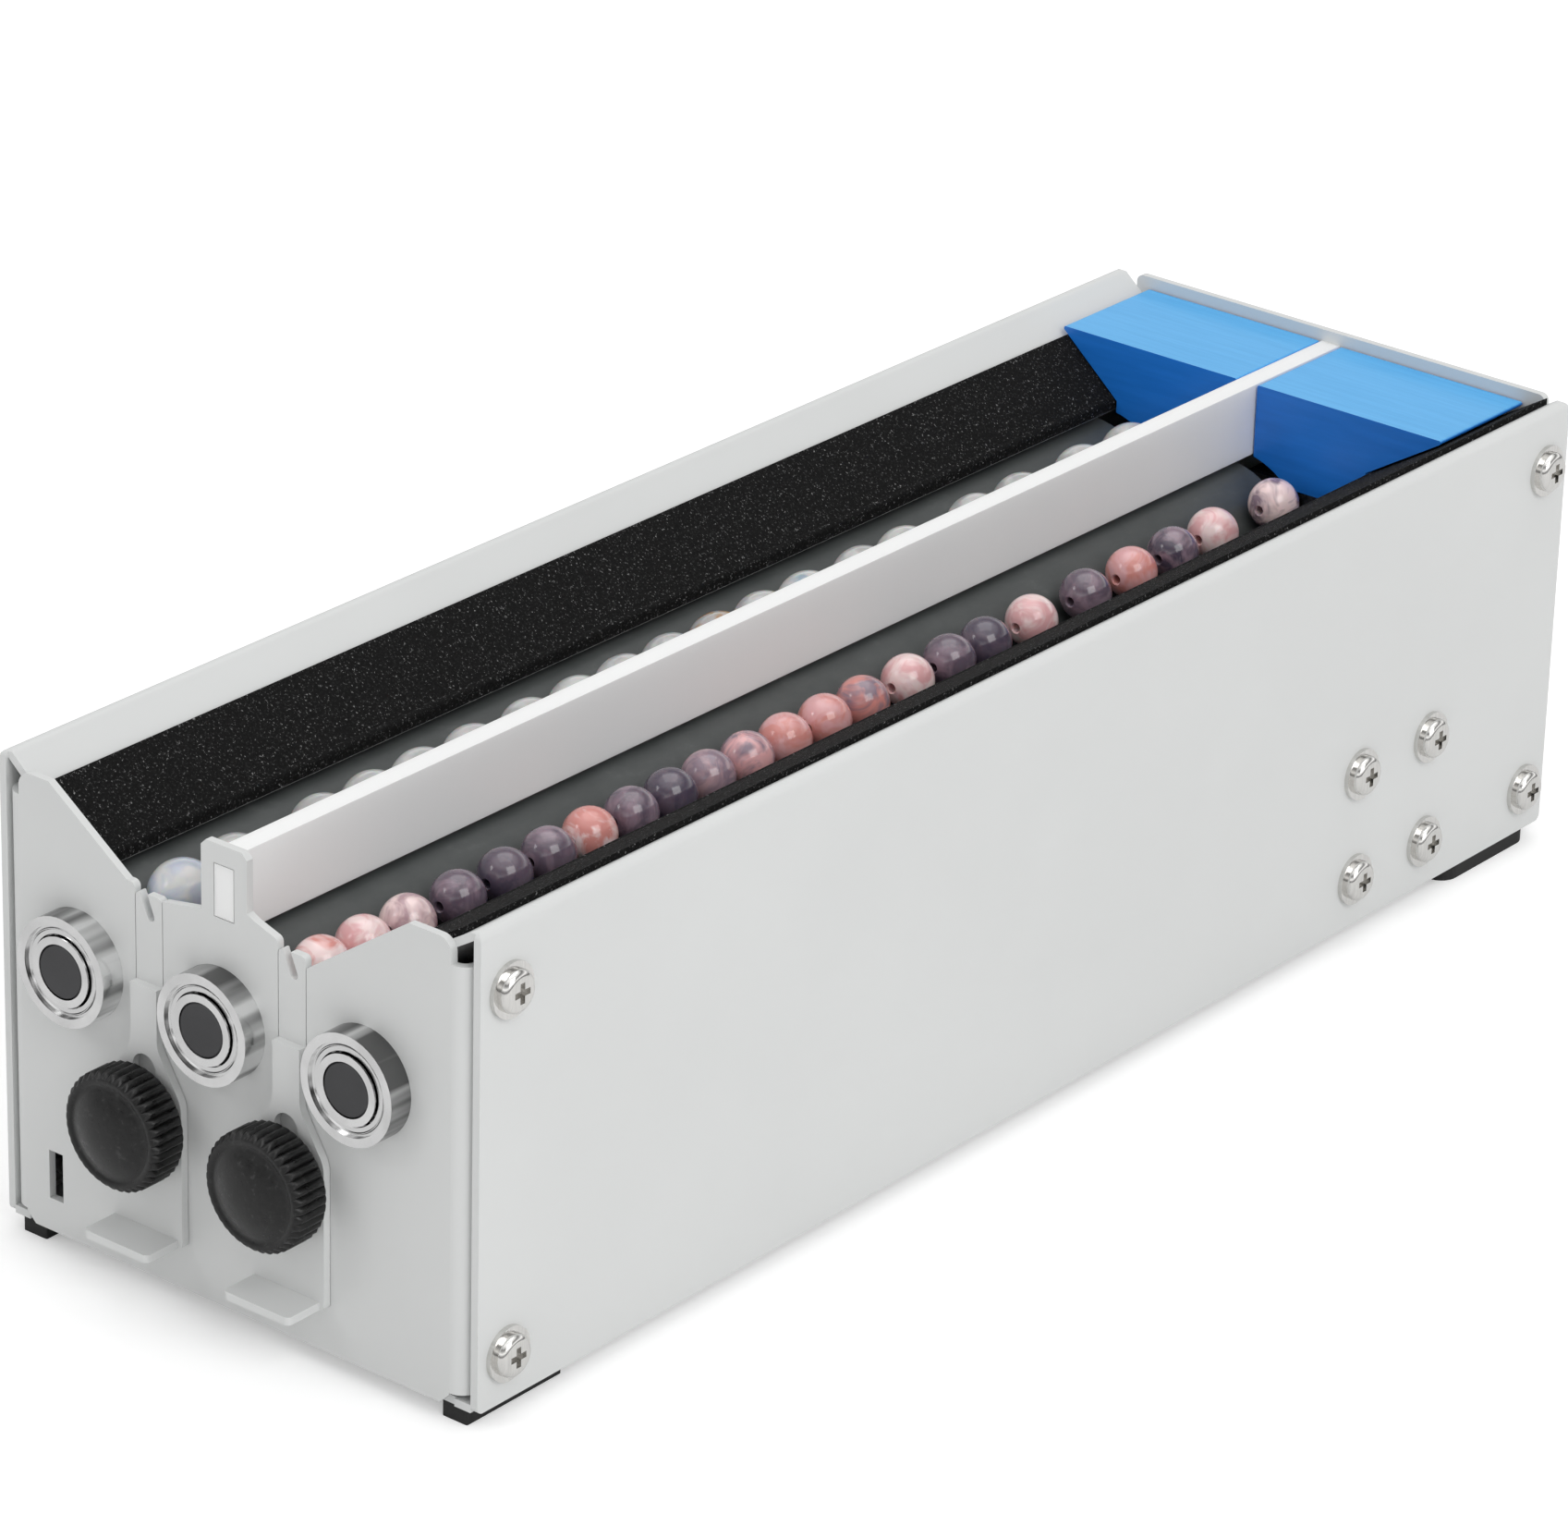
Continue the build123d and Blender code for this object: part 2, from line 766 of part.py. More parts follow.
def make_pulley(x, z, y0, tooth_radius, teeth, bore):
    """A toothed pulley between two flanges."""
    y1 = y0 + pulley_length
    wheel = rod_y(x, z, y0, y1, tooth_radius)
    gaps = []
    for step in range(teeth):
        turn = 2 * pi * step / teeth
        place = (x + tooth_radius * cos(turn), z + tooth_radius * sin(turn))
        gaps.append(rod_y(*place, y0, y1, tooth_gap_radius))
    wheel -= gaps
    rim = tooth_radius + pulley_flange_extra
    wheel += rod_y(x, z, y0, y0 + pulley_flange, rim) + rod_y(x, z, y1 - pulley_flange, y1, rim)
    return wheel - rod_y(x, z, y0 - overrun, y1 + overrun, bore)


def belt_face(first, first_radius, second, second_radius):
    """The area inside a tight loop round two circles."""
    dx = second[0] - first[0]
    dz = second[1] - first[1]
    heading = atan2(dz, dx)
    lean = acos((first_radius - second_radius) / sqrt(dx ** 2 + dz ** 2))
    tangents = []
    for centre, radius in ((first, first_radius), (second, second_radius)):
        for turn in (heading + lean, heading - lean):
            tangents.append((centre[0] + radius * cos(turn), centre[1] + radius * sin(turn)))
    middle = outline([tangents[0], tangents[1], tangents[3], tangents[2]])
    return middle + Pos(*first) * Circle(first_radius) + Pos(*second) * Circle(second_radius)


def make_belt(first, first_radius, second, second_radius, y0):
    """A closed belt round two pulleys, clear of their teeth."""
    inner_first = first_radius + belt_pulley_gap
    inner_second = second_radius + belt_pulley_gap
    start = y0 + pulley_flange + belt_side_play
    outer = belt_face(first, inner_first + belt_thickness, second, inner_second + belt_thickness)
    inner = belt_face(first, inner_first, second, inner_second)
    return prism_y(outer - inner, start, start + belt_width)


def make_beads(row, shares):
    """One row of drilled beads, lying in the valley between two rollers."""
    x = row_xs[row]
    z = bead_zs[row]
    radius = bead_radii[row]
    beads = []
    for share in shares:
        y = sleeve_front + share * roller_length
        hole = rod_y(x, z, y - radius - overrun, y + radius + overrun, bead_hole_radius)
        beads.append(Pos(x, y, z) * Sphere(radius) - hole)
    return beads


def make_slide(x):
    """A needle slide: neck in the plate's slot, step forward, wide body and bottom lip."""
    half_neck = slot_width / 2 - slide_side_gap
    half_body = slide_body_width / 2
    neck_top = datum + slide_neck_top_height
    step = datum + slide_step_height
    low = datum + slide_floor_height
    face_rear = y_front - slide_face_gap
    face_front = face_rear - sheet
    neck_face = outline([
        (x - half_neck, step - sheet), (x + half_neck, step - sheet),
        (x + half_neck, neck_top), (x - half_neck, neck_top),
    ])
    neck_face = fillet(neck_face.vertices().group_by(Axis.Y)[-1], slide_corner_radius)
    neck = prism_y(neck_face, y_front, y_front + sheet)
    joggle = box(x - half_neck, x + half_neck, face_front, y_front + sheet, step - sheet, step)
    waist = step - slide_waist_drop
    shoulder = waist - slide_flare_height
    body_face = outline([
        (x - half_body, low), (x + half_body, low), (x + half_body, shoulder), (x + half_neck, waist),
        (x + half_neck, step), (x - half_neck, step), (x - half_neck, waist), (x - half_body, shoulder),
    ])
    feet_corners = [(x - half_body, low), (x + half_body, low)]
    body_face = fillet(near_points(body_face, feet_corners, sheet), slide_corner_radius)
    flare = [
        (x + turn * half, height)
        for turn in (-1, 1) for half, height in ((half_body, shoulder), (half_neck, waist))
    ]
    flare_turn = atan2(half_body - half_neck, slide_flare_height)
    flare_length = slide_flare_height / cos(flare_turn)
    flare_radius = slide_flare_share * flare_length / 2 / tan(flare_turn / 2)
    body_face = fillet(near_points(body_face, flare, sheet), flare_radius)
    body = prism_y(body_face, face_front, face_rear)
    half_lip = slide_lip_width / 2
    lip = box(x - half_lip, x + half_lip, face_rear - slide_lip_depth, face_rear, low, low + sheet)
    lip = fillet(lip.edges().filter_by(Axis.Z).group_by(Axis.Y)[0], slide_corner_radius)
    slide = neck + joggle + body + lip
    notch_box = Box(needle_notch_width, sheet + overrun, 2 * needle_notch_depth)
    notch_end = Rot(90, 0, 0) * Cylinder(needle_notch_width / 2, sheet + overrun)
    notch_end = Pos(0, 0, -needle_notch_depth) * notch_end
    notch = Pos(x + needle_notch_offset, y_front + sheet / 2, neck_top) * (
        Rot(0, needle_notch_tilt, 0) * (notch_box + notch_end)
    )
    half_slot = stud_radius + slide_slot_margin
    slot_low = knob_z - slide_travel_up
    slot_high = knob_z + slide_travel_down
    slot = box(x - half_slot, x + half_slot, face_front - overrun, face_rear + overrun, slot_low, slot_high)
    slot += rod_y(x, slot_low, face_front - overrun, face_rear + overrun, half_slot)
    slot += rod_y(x, slot_high, face_front - overrun, face_rear + overrun, half_slot)
    return slide - notch - slot


def make_knob(x):
    """A ribbed thumb knob with a domed face, and the stud moulded in it."""
    slide_face = y_front - slide_face_gap - sheet
    neck_rear = slide_face - knob_play
    body_rear = neck_rear - knob_neck_length
    body_front = body_rear - knob_body_length
    rib_radius = pi * knob_radius / knob_rib_count / 2
    core = rod_y(x, knob_z, body_front, body_rear, knob_radius)
    core = chamfer(core.edges().filter_by(GeomType.CIRCLE), knob_rib_depth)
    gaps = []
    for step in range(knob_rib_count):
        turn = 2 * pi * step / knob_rib_count
        place = knob_radius + rib_radius - knob_rib_depth
        gaps.append(rod_y(
            x + place * cos(turn), knob_z + place * sin(turn),
            body_front - overrun, body_rear + overrun, rib_radius,
        ))
    knob = core - gaps
    dome_radius = knob_radius - 2 * knob_rib_depth
    ball = (dome_radius ** 2 + knob_dome_height ** 2) / (2 * knob_dome_height)
    cap = Pos(x, body_front - knob_dome_height + ball, knob_z) * Sphere(ball)
    cap &= rod_y(x, knob_z, body_front - knob_dome_height, body_front + knob_rib_depth, dome_radius)
    knob += cap + rod_y(x, knob_z, body_rear, neck_rear, knob_neck_radius)
    nut_rear = y_front + sheet + clamp_nut_thickness
    stud = rod_y(x, knob_z, body_rear - knob_body_length / 2, nut_rear + stud_tail, stud_radius)
    return knob - stud, stud


def make_clamp_nut(x):
    """The clinch nut behind the plate that one knob's stud screws into."""
    y0 = y_front + sheet
    return ring_y(x, knob_z, y0, y0 + clamp_nut_thickness, clamp_nut_radius, stud_radius + thread_gap)


def side_screw(side, y, z, length):
    """A pan-head cross-recess screw with its washer, driven in from one side."""
    x = side * half_width
    out = side * screw_washer_thickness
    top = out + side * screw_head_height
    shank = rod_x(y, z, *sorted((x, x - side * length)), screw_radius)
    washer = rod_x(y, z, *sorted((x, x + out)), screw_washer_radius)
    head = rod_x(y, z, *sorted((x + out, x + top)), screw_head_radius)
    crown = head.edges().filter_by(GeomType.CIRCLE).sort_by(Axis.X)[-1 if side > 0 else 0]
    head = fillet(crown, screw_head_height * screw_crown_share)
    recess_x = x + top
    half_long = screw_recess_length / 2
    half_wide = screw_recess_width / 2
    ends = sorted((recess_x + side * overrun, recess_x - side * screw_recess_depth))
    bars = [
        box(*ends, y - half_long, y + half_long, z - half_wide, z + half_wide),
        box(*ends, y - half_wide, y + half_wide, z - half_long, z + half_long),
    ]
    return shank + washer + (head - bars)


def make_corner_nuts():
    nuts = []
    face = wall - plate_side_gap - sheet
    for side in (-1, 1):
        for y in screw_ys:
            for z in screw_zs:
                ends = sorted((side * face, side * (face - clinch_nut_thickness)))
                nut = rod_x(y, z, *ends, clinch_nut_radius)
                nuts.append(nut - rod_x(y, z, -half_width, half_width, screw_radius + thread_gap))
    return nuts


def make_feet():
    """Square-cornered strips at the front and wider round-cornered ones at the rear."""
    front = (y_front + front_foot_inset, y_front + front_foot_inset + front_foot_length)
    rear = (y_rear - rear_foot_inset - rear_foot_length, y_rear - rear_foot_inset)
    feet = []
    for side in (-1, 1):
        for ends, inset, width, radius in (
            (front, front_foot_side_inset, front_foot_width, front_foot_corner_radius),
            (rear, rear_foot_side_inset, rear_foot_width, rear_foot_corner_radius),
        ):
            outer = half_width - inset
            pad = box(*sorted((side * outer, side * (outer - width))), *ends, 0, floor)
            feet.append(fillet(pad.edges().filter_by(Axis.Z), radius))
    return feet


def make_bracket():
    """An angle bracket: a leg on the right panel and a leg across the gearbox's face."""
    inner = wall - bracket_sheet
    half = bracket_screw_spacing_z / 2 + bracket_screw_margin
    y0 = bracket_screw_ys[0] - bracket_screw_margin
    leg = box(inner, wall, y0, bracket_face_rear, motor_z - half, motor_z + half)
    face = box(
        motor_x - gearbox_radius, inner, bracket_face_rear - bracket_sheet, bracket_face_rear,
        motor_z - half, motor_z + half,
    )
    holes = [rod_y(motor_x, motor_z, y0, bracket_face_rear + overrun, bracket_hub_radius)]
    for side in (-1, 1):
        x = motor_x + side * face_screw_spacing / 2
        holes.append(rod_y(x, motor_z, y0, bracket_face_rear + overrun, small_screw_hole_radius))
    for y in bracket_screw_ys:
        for z in bracket_screw_zs:
            holes.append(rod_x(y, z, inner - overrun, wall + overrun, screw_radius + thread_gap))
    return leg + face - holes


def make_motor():
    """Gearbox, motor can and turning shaft, front to rear."""
    face = bracket_face_rear - bracket_sheet
    gearbox = rod_y(motor_x, motor_z, face - gearbox_length, face, gearbox_radius)
    hub = rod_y(motor_x, motor_z, face, face + bracket_sheet, bracket_hub_radius - thread_gap)
    gearbox += hub
    shaft_front = face - gearbox_length / 2
    gearbox -= rod_y(motor_x, motor_z, shaft_front, face + overrun, motor_shaft_radius + thread_gap)
    for side in (-1, 1):
        x = motor_x + side * face_screw_spacing / 2
        gearbox -= rod_y(x, motor_z, face - small_screw_length, face + overrun, small_screw_radius)
    can_rear = face - gearbox_length
    can_front = can_rear - can_length
    can = rod_y(motor_x, motor_z, can_front, can_rear, can_radius)
    can = fillet(can.edges().filter_by(GeomType.CIRCLE).sort_by(Axis.Y)[0], slide_corner_radius)
    can += rod_y(motor_x, motor_z, can_front - can_boss_length, can_front, can_boss_radius)
    shaft = rod_y(motor_x, motor_z, shaft_front + thread_gap, face + motor_shaft_length, motor_shaft_radius)
    terminals = []
    for side in (-1, 1):
        x = motor_x + side * terminal_spacing / 2
        half = terminal_width / 2
        terminals.append(box(
            x - terminal_thickness / 2, x + terminal_thickness / 2,
            can_front - terminal_length, can_front, motor_z - half, motor_z + half,
        ))
    return gearbox, can, shaft, terminals


def small_screw(place, turn):
    """A small pan-head screw, its head's seat at the origin and its shank down."""
    shank = rod_z(0, 0, -small_screw_length, 0, small_screw_radius)
    head = rod_z(0, 0, 0, small_screw_head_height, small_screw_head_radius)
    head = fillet(head.edges().filter_by(GeomType.CIRCLE).sort_by(Axis.Z)[-1], small_screw_head_height / 2)
    return Pos(*place) * (turn * (shank + head))


def board_corners():
    y1 = y_rear - board_rear_gap
    y0 = y1 - board_length
    x0 = board_x - board_width / 2
    x1 = board_x + board_width / 2
    inset = board_hole_inset
    posts = [(x, y) for x in (x0 + inset, x1 - inset) for y in (y0 + inset, y1 - inset)]
    return x0, x1, y0, y1, posts


def make_board():
    """The control board on its posts, with its larger components."""
    x0, x1, y0, y1, posts = board_corners()
    low = floor + sheet + board_post_height
    high = low + board_thickness
    board = box(x0, x1, y0, y1, low, high)
    board -= [rod_z(x, y, low - overrun, high + overrun, small_screw_radius) for x, y in posts]
    stands = [
        rod_z(x, y, floor + sheet, low, board_post_radius)
        - rod_z(x, y, low - small_screw_length, low + overrun, small_screw_radius)
        for x, y in posts
    ]
    middle_y = (y0 + y1) / 2
    parts = [
        box(board_x - chip_width / 2, board_x + chip_width / 2, middle_y - chip_depth / 2,
            middle_y + chip_depth / 2, high, high + chip_height),
        rod_z(board_x, y0 + 2 * capacitor_radius, high, high + capacitor_height, capacitor_radius),
        box(board_x - plug_block_width / 2, board_x + plug_block_width / 2,
            y1 - plug_block_depth - board_thickness, y1 - board_thickness, high, high + plug_block_height),
    ]
    return board, stands, parts, [(x, y, high) for x, y in posts]


def make_inlet():
    """A round power inlet with its bore and middle pin."""
    rear = y_rear + inlet_flange_thickness
    body = rod_y(inlet_x, control_z, y_rear - inlet_body_length, y_rear, inlet_body_radius)
    body += rod_y(inlet_x, control_z, y_rear, rear, inlet_flange_radius)
    body -= rod_y(inlet_x, control_z, rear - inlet_bore_depth, rear + overrun, inlet_bore_radius)
    pin = rod_y(inlet_x, control_z, rear - inlet_bore_depth, rear - inlet_pin_inset, inlet_pin_radius)
    return body, pin


def make_switch():
    """The rocker switch's body and the rocker that tips in it."""
    half_w = switch_body_width / 2
    half_h = switch_body_height / 2
    rear = y_rear + switch_bezel_thickness
    body = box(
        switch_x - half_w, switch_x + half_w, y_rear - switch_body_length, y_rear,
        control_z - half_h, control_z + half_h,
    )
    body += box(
        switch_x - switch_bezel_width / 2, switch_x + switch_bezel_width / 2, y_rear, rear,
        control_z - switch_bezel_height / 2, control_z + switch_bezel_height / 2,
    )
    inner_w = half_w - switch_wall
    inner_h = half_h - switch_wall
    floor_y = rear - switch_pocket_depth
    body -= box(
        switch_x - inner_w, switch_x + inner_w, floor_y, rear + overrun,
        control_z - inner_h, control_z + inner_h,
    )
    axis_y = rear - rocker_axis_depth
    rocker_h = inner_h - rocker_gap
    reach = inner_w - rocker_side_gap
    face = sqrt(rocker_radius ** 2 - reach ** 2)
    rocker = rod_z(switch_x, axis_y, control_z - rocker_h, control_z + rocker_h, reach)
    crown = box(
        switch_x - reach, switch_x + reach, axis_y, axis_y + face, control_z - rocker_h, control_z + rocker_h,
    )
    dip = rod_z(
        switch_x, axis_y + face + rocker_radius - rocker_relief_depth,
        control_z - half_h, control_z + half_h, rocker_radius,
    )
    trim = box(
        switch_x - half_w, switch_x + half_w, axis_y - half_w, axis_y - rocker_relief_depth,
        control_z - half_h, control_z + half_h,
    )
    rocker = rocker + crown - dip - trim
    pin = rod_z(switch_x, axis_y, control_z - half_h + switch_wall / 2, control_z + half_h - switch_wall / 2,
                rocker_pin_radius)
    seat = rod_z(switch_x, axis_y, control_z - half_h + switch_wall / 2, control_z + half_h - switch_wall / 2,
                 rocker_pin_radius + thread_gap)
    pivot = Pos(switch_x, axis_y, control_z)
    tipped = pivot * (Rot(0, 0, rocker_tilt) * (pivot.inverse() * (rocker + pin)))
    return body - seat, tipped


def make_speed_control():
    """The speed control, its fixing nut and the fluted knob on its shaft."""
    inner = y_rear - sheet
    pot = rod_y(speed_x, control_z, inner - pot_length, inner, pot_radius)
    bush_rear = inner + pot_bush_length
    pot += rod_y(speed_x, control_z, inner, bush_rear, pot_bush_radius)
    bore_front = inner - pot_length / 2
    pot -= rod_y(speed_x, control_z, bore_front, bush_rear + overrun, pot_shaft_radius + thread_gap)
    nut = Pos(speed_x, y_rear, control_z) * (
        Rot(-90, 0, 0) * extrude(RegularPolygon(pot_nut_radius, 6), pot_nut_thickness)
    )
    nut -= rod_y(speed_x, control_z, y_rear - overrun, y_rear + overrun, pot_bush_radius)
    start = y_rear + speed_knob_skirt_gap
    stop = start + speed_knob_length
    knob = rod_y(speed_x, control_z, start, stop, speed_knob_radius)
    knob = chamfer(knob.edges().filter_by(GeomType.CIRCLE).sort_by(Axis.Y)[-1], slide_corner_radius)
    cavity_end = start + speed_knob_cavity_depth
    knob -= rod_y(speed_x, control_z, start - overrun, cavity_end, speed_knob_cavity_radius)
    flutes = []
    for step in range(speed_knob_flutes):
        turn = 2 * pi * (step + 0.5) / speed_knob_flutes
        place = speed_knob_radius + speed_knob_flute_radius / 2
        flutes.append(rod_y(
            speed_x + place * cos(turn), control_z + place * sin(turn),
            start + sheet, stop + overrun, speed_knob_flute_radius,
        ))
    knob -= flutes
    knob -= box(
        speed_x - speed_pointer_width / 2, speed_x + speed_pointer_width / 2,
        stop - slide_corner_radius, stop + overrun, control_z + stud_radius, control_z + speed_knob_radius,
    )
    knob += rod_y(speed_x, control_z, inner - pot_length / 2 + thread_gap, stop - sheet, pot_shaft_radius)
    return pot, nut, knob


# Case
save("front_plate", make_front_plate())
save("rear_plate", make_rear_plate())
save("left_panel", make_panel(-1))
save("right_panel", make_panel(1))
save("base_plate", make_base_plate())
save("feet", *make_feet())
save("corner_screws", *[
    side_screw(side, y, z, screw_length) for side in (-1, 1) for y in screw_ys for z in screw_zs
])
save("corner_nuts", *make_corner_nuts())

# Troughs
save("left_foam", make_foam(-1, left_foam_reach))
save("right_foam", make_foam(1, right_foam_reach))
save("divider", make_divider())
save("left_block", make_block(-1))
save("right_block", make_block(1))

# Rollers and their bearings
for name, x in roller_xs.items():
    save(f"{name}_roller_core", make_roller_core(x))
    save(f"{name}_roller_sleeve", make_sleeve(x))
    save(f"{name}_inner_rings", *make_inner_rings(x))
save("bearing_outer_rings", *make_outer_rings())
save("bearing_shields", *make_shields())
save("bearing_balls", *make_balls())

# Drive
for name, belts in (("left", ("left",)), ("middle", ("right", "left")), ("right", ("drive", "right"))):
    save(f"{name}_roller_pulley", *[
        make_pulley(
            roller_xs[name], roller_z, pulley_fronts[belt], pulley_tooth_radius, pulley_teeth, spindle_radius
        )
        for belt in belts
    ])
save("motor_pulley", make_pulley(
    motor_x, motor_z, pulley_fronts["drive"],
    motor_pulley_tooth_radius, motor_pulley_teeth, motor_shaft_radius,
))
left_place = (roller_xs["left"], roller_z)
middle_place = (roller_xs["middle"], roller_z)
right_place = (roller_xs["right"], roller_z)
save("drive_belt", make_belt(
    right_place, pulley_tooth_radius, (motor_x, motor_z), motor_pulley_tooth_radius, pulley_fronts["drive"]
))
save("right_belt", make_belt(
    middle_place, pulley_tooth_radius, right_place, pulley_tooth_radius, pulley_fronts["right"]
))
save("left_belt", make_belt(
    left_place, pulley_tooth_radius, middle_place, pulley_tooth_radius, pulley_fronts["left"]
))
gearbox, can, motor_shaft, terminals = make_motor()
save("motor_gearbox", gearbox)
save("motor_can", can)
save("motor_shaft", motor_shaft)
save("motor_terminals", *terminals)
save("motor_bracket", make_bracket())
save("bracket_screws", *[
    side_screw(1, y, z, bracket_screw_length) for y in bracket_screw_ys for z in bracket_screw_zs
])

# Needle slides
for name, x in row_xs.items():
    save(f"{name}_slide", make_slide(x))
    save(f"{name}_clamp_nut", make_clamp_nut(x))
    save(f"{name}_knob", *make_knob(x))

# Controls
board, stands, board_parts, board_screw_places = make_board()
save("control_board", board)
save("board_posts", *stands)
save("board_parts", *board_parts)
face_screw_xs = [motor_x + side * face_screw_spacing / 2 for side in (-1, 1)]
save("small_screws", *[
    small_screw(place, Rot(0, 0, 0)) for place in board_screw_places
], *[
    small_screw((x, bracket_face_rear, motor_z), Rot(-90, 0, 0)) for x in face_screw_xs
])
inlet, inlet_pin = make_inlet()
save("power_inlet", inlet)
save("inlet_pin", inlet_pin)
switch_body, rocker = make_switch()
save("switch_body", switch_body)
save("switch_rocker", rocker)
pot, pot_nut, speed_knob = make_speed_control()
save("speed_control", pot)
save("speed_control_nut", pot_nut)
save("speed_knob", speed_knob)

# Beads being strung
save("left_beads", *make_beads("left", left_bead_shares))
save("right_beads", *make_beads("right", right_bead_shares))
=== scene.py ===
from math import cos, pi, radians, sin
from random import Random

import bmesh
import bpy
from mathutils import Matrix, Vector


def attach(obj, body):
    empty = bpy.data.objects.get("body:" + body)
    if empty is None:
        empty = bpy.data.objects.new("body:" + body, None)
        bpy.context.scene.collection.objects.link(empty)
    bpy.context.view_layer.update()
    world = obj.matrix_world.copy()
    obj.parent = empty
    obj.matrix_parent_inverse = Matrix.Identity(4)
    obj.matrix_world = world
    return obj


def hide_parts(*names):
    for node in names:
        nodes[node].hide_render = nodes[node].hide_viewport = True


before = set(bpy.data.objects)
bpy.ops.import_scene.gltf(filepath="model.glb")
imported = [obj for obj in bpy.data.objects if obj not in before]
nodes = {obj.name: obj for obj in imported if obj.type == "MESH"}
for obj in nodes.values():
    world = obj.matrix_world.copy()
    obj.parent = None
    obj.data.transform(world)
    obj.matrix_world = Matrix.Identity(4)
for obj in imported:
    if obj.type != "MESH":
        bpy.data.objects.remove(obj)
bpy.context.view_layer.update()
scene = bpy.context.scene
MM = 0.001

# The photograph's view
IMAGE_WIDTH = 1697
FOCAL_PIXELS = 7720
SENSOR_WIDTH = 36.0
VIEW_AZIMUTH = radians(38.52)
VIEW_ELEVATION = radians(24.57)
VIEW_ROLL = radians(1.58)
VIEW_DISTANCE = 1039.6 * MM
VIEW_AIM = Vector((-8.2, 0.0, 37.7)) * MM

CLIP_START = 0.01
CLIP_END = 100

# Light, with each lamp's place, size and power
WORLD_LIGHT = 0.6
FLOOR_LIFT = 0.3
FLOOR_SIZE = 30
LAMP_AIM = Vector((0, 0, 0.04))
LAMPS = {
    "key": ((1.1, -0.35, 1.0), 0.9, 7.4),
    "front": ((-0.75, -1.2, 1.0), 0.4, 1.7),
    "top": ((-0.2, 0.2, 1.5), 1.2, 4.2),
}

# Sizes of the finish
SHEET_EDGE = 0.16 * MM
FINE_EDGE = 0.08 * MM
SOFT_EDGE = 0.35 * MM
EDGE_STEPS = 2
EDGE_ANGLE = radians(35)
CURVE_STEPS = 96
MERGE_DISTANCE = 1e-7
SHADE_SCALE = 0.03


# Shader helpers

def new_material(name):
    material = bpy.data.materials.new(name)
    material.use_nodes = True
    tree = material.node_tree
    return material, tree, tree.nodes["Principled BSDF"]


def node(tree, kind, **values):
    """A shader node with its settings and the values of its inputs."""
    made = tree.nodes.new(kind)
    for name, value in values.items():
        if hasattr(made, name) and name not in made.inputs:
            setattr(made, name, value)
        else:
            made.inputs[name.replace("_", " ")].default_value = value
    return made


def object_points(tree, scale=(1, 1, 1), turn=(0, 0, 0)):
    """Places in the object's own space, in millimetres."""
    coords = node(tree, "ShaderNodeTexCoord")
    mapping = node(tree, "ShaderNodeMapping")
    mapping.inputs["Scale"].default_value = [s / MM for s in scale]
    mapping.inputs["Rotation"].default_value = turn
    tree.links.new(coords.outputs["Object"], mapping.inputs["Vector"])
    return mapping.outputs["Vector"]


def noise(tree, points, scale, detail=3.0, roughness=0.5, distortion=0.0):
    made = node(tree, "ShaderNodeTexNoise")
    made.inputs["Scale"].default_value = scale
    made.inputs["Detail"].default_value = detail
    made.inputs["Roughness"].default_value = roughness
    made.inputs["Distortion"].default_value = distortion
    tree.links.new(points, made.inputs["Vector"])
    return made.outputs["Fac"]


def ramp(tree, factor, *stops):
    """A colour ramp from (place, colour) stops."""
    made = node(tree, "ShaderNodeValToRGB")
    band = made.color_ramp
    while len(band.elements) < len(stops):
        band.elements.new(0.5)
    for element, (place, colour) in zip(band.elements, stops):
        element.position = place
        element.color = (*colour, 1) if len(colour) == 3 else colour
    tree.links.new(factor, made.inputs["Fac"])
    return made.outputs["Color"]


def grey(value):
    return (value, value, value)


def bump(tree, shader, height, strength, distance):
    made = node(tree, "ShaderNodeBump")
    made.inputs["Strength"].default_value = strength
    made.inputs["Distance"].default_value = distance
    tree.links.new(height, made.inputs["Height"])
    tree.links.new(made.outputs["Normal"], shader.inputs["Normal"])


def paint(name, colour, rough, grain=0.0, grain_scale=6.0, shade=0.03):
    """A painted or moulded surface with a faint change of shade and a fine grain."""
    material, tree, shader = new_material(name)
    points = object_points(tree)
    tone = noise(tree, points, SHADE_SCALE, 2.0)
    low = [c * (1 - shade) for c in colour]
    high = [min(1.0, c * (1 + shade)) for c in colour]
    tree.links.new(ramp(tree, tone, (0.35, low), (0.65, high)), shader.inputs["Base Color"])
    shader.inputs["Roughness"].default_value = rough
    if grain:
        bump(tree, shader, noise(tree, points, grain_scale, 2.0), 0.3, grain * MM)
    return material


def turned_metal(name, colour, rough, streak=0.12):
    """Metal with fine turning marks round the long axis of the case."""
    material, tree, shader = new_material(name)
    marks = noise(tree, object_points(tree, (0.15, 4.0, 0.15)), 1.0, 3.0, 0.6)
    low = [c * (1 - streak) for c in colour]
    tree.links.new(ramp(tree, marks, (0.35, low), (0.65, colour)), shader.inputs["Base Color"])
    rough_range = ramp(tree, marks, (0.3, grey(rough * 0.92)), (0.7, grey(rough * 1.1)))
    tree.links.new(rough_range, shader.inputs["Roughness"])
    shader.inputs["Metallic"].default_value = 1.0
    return material


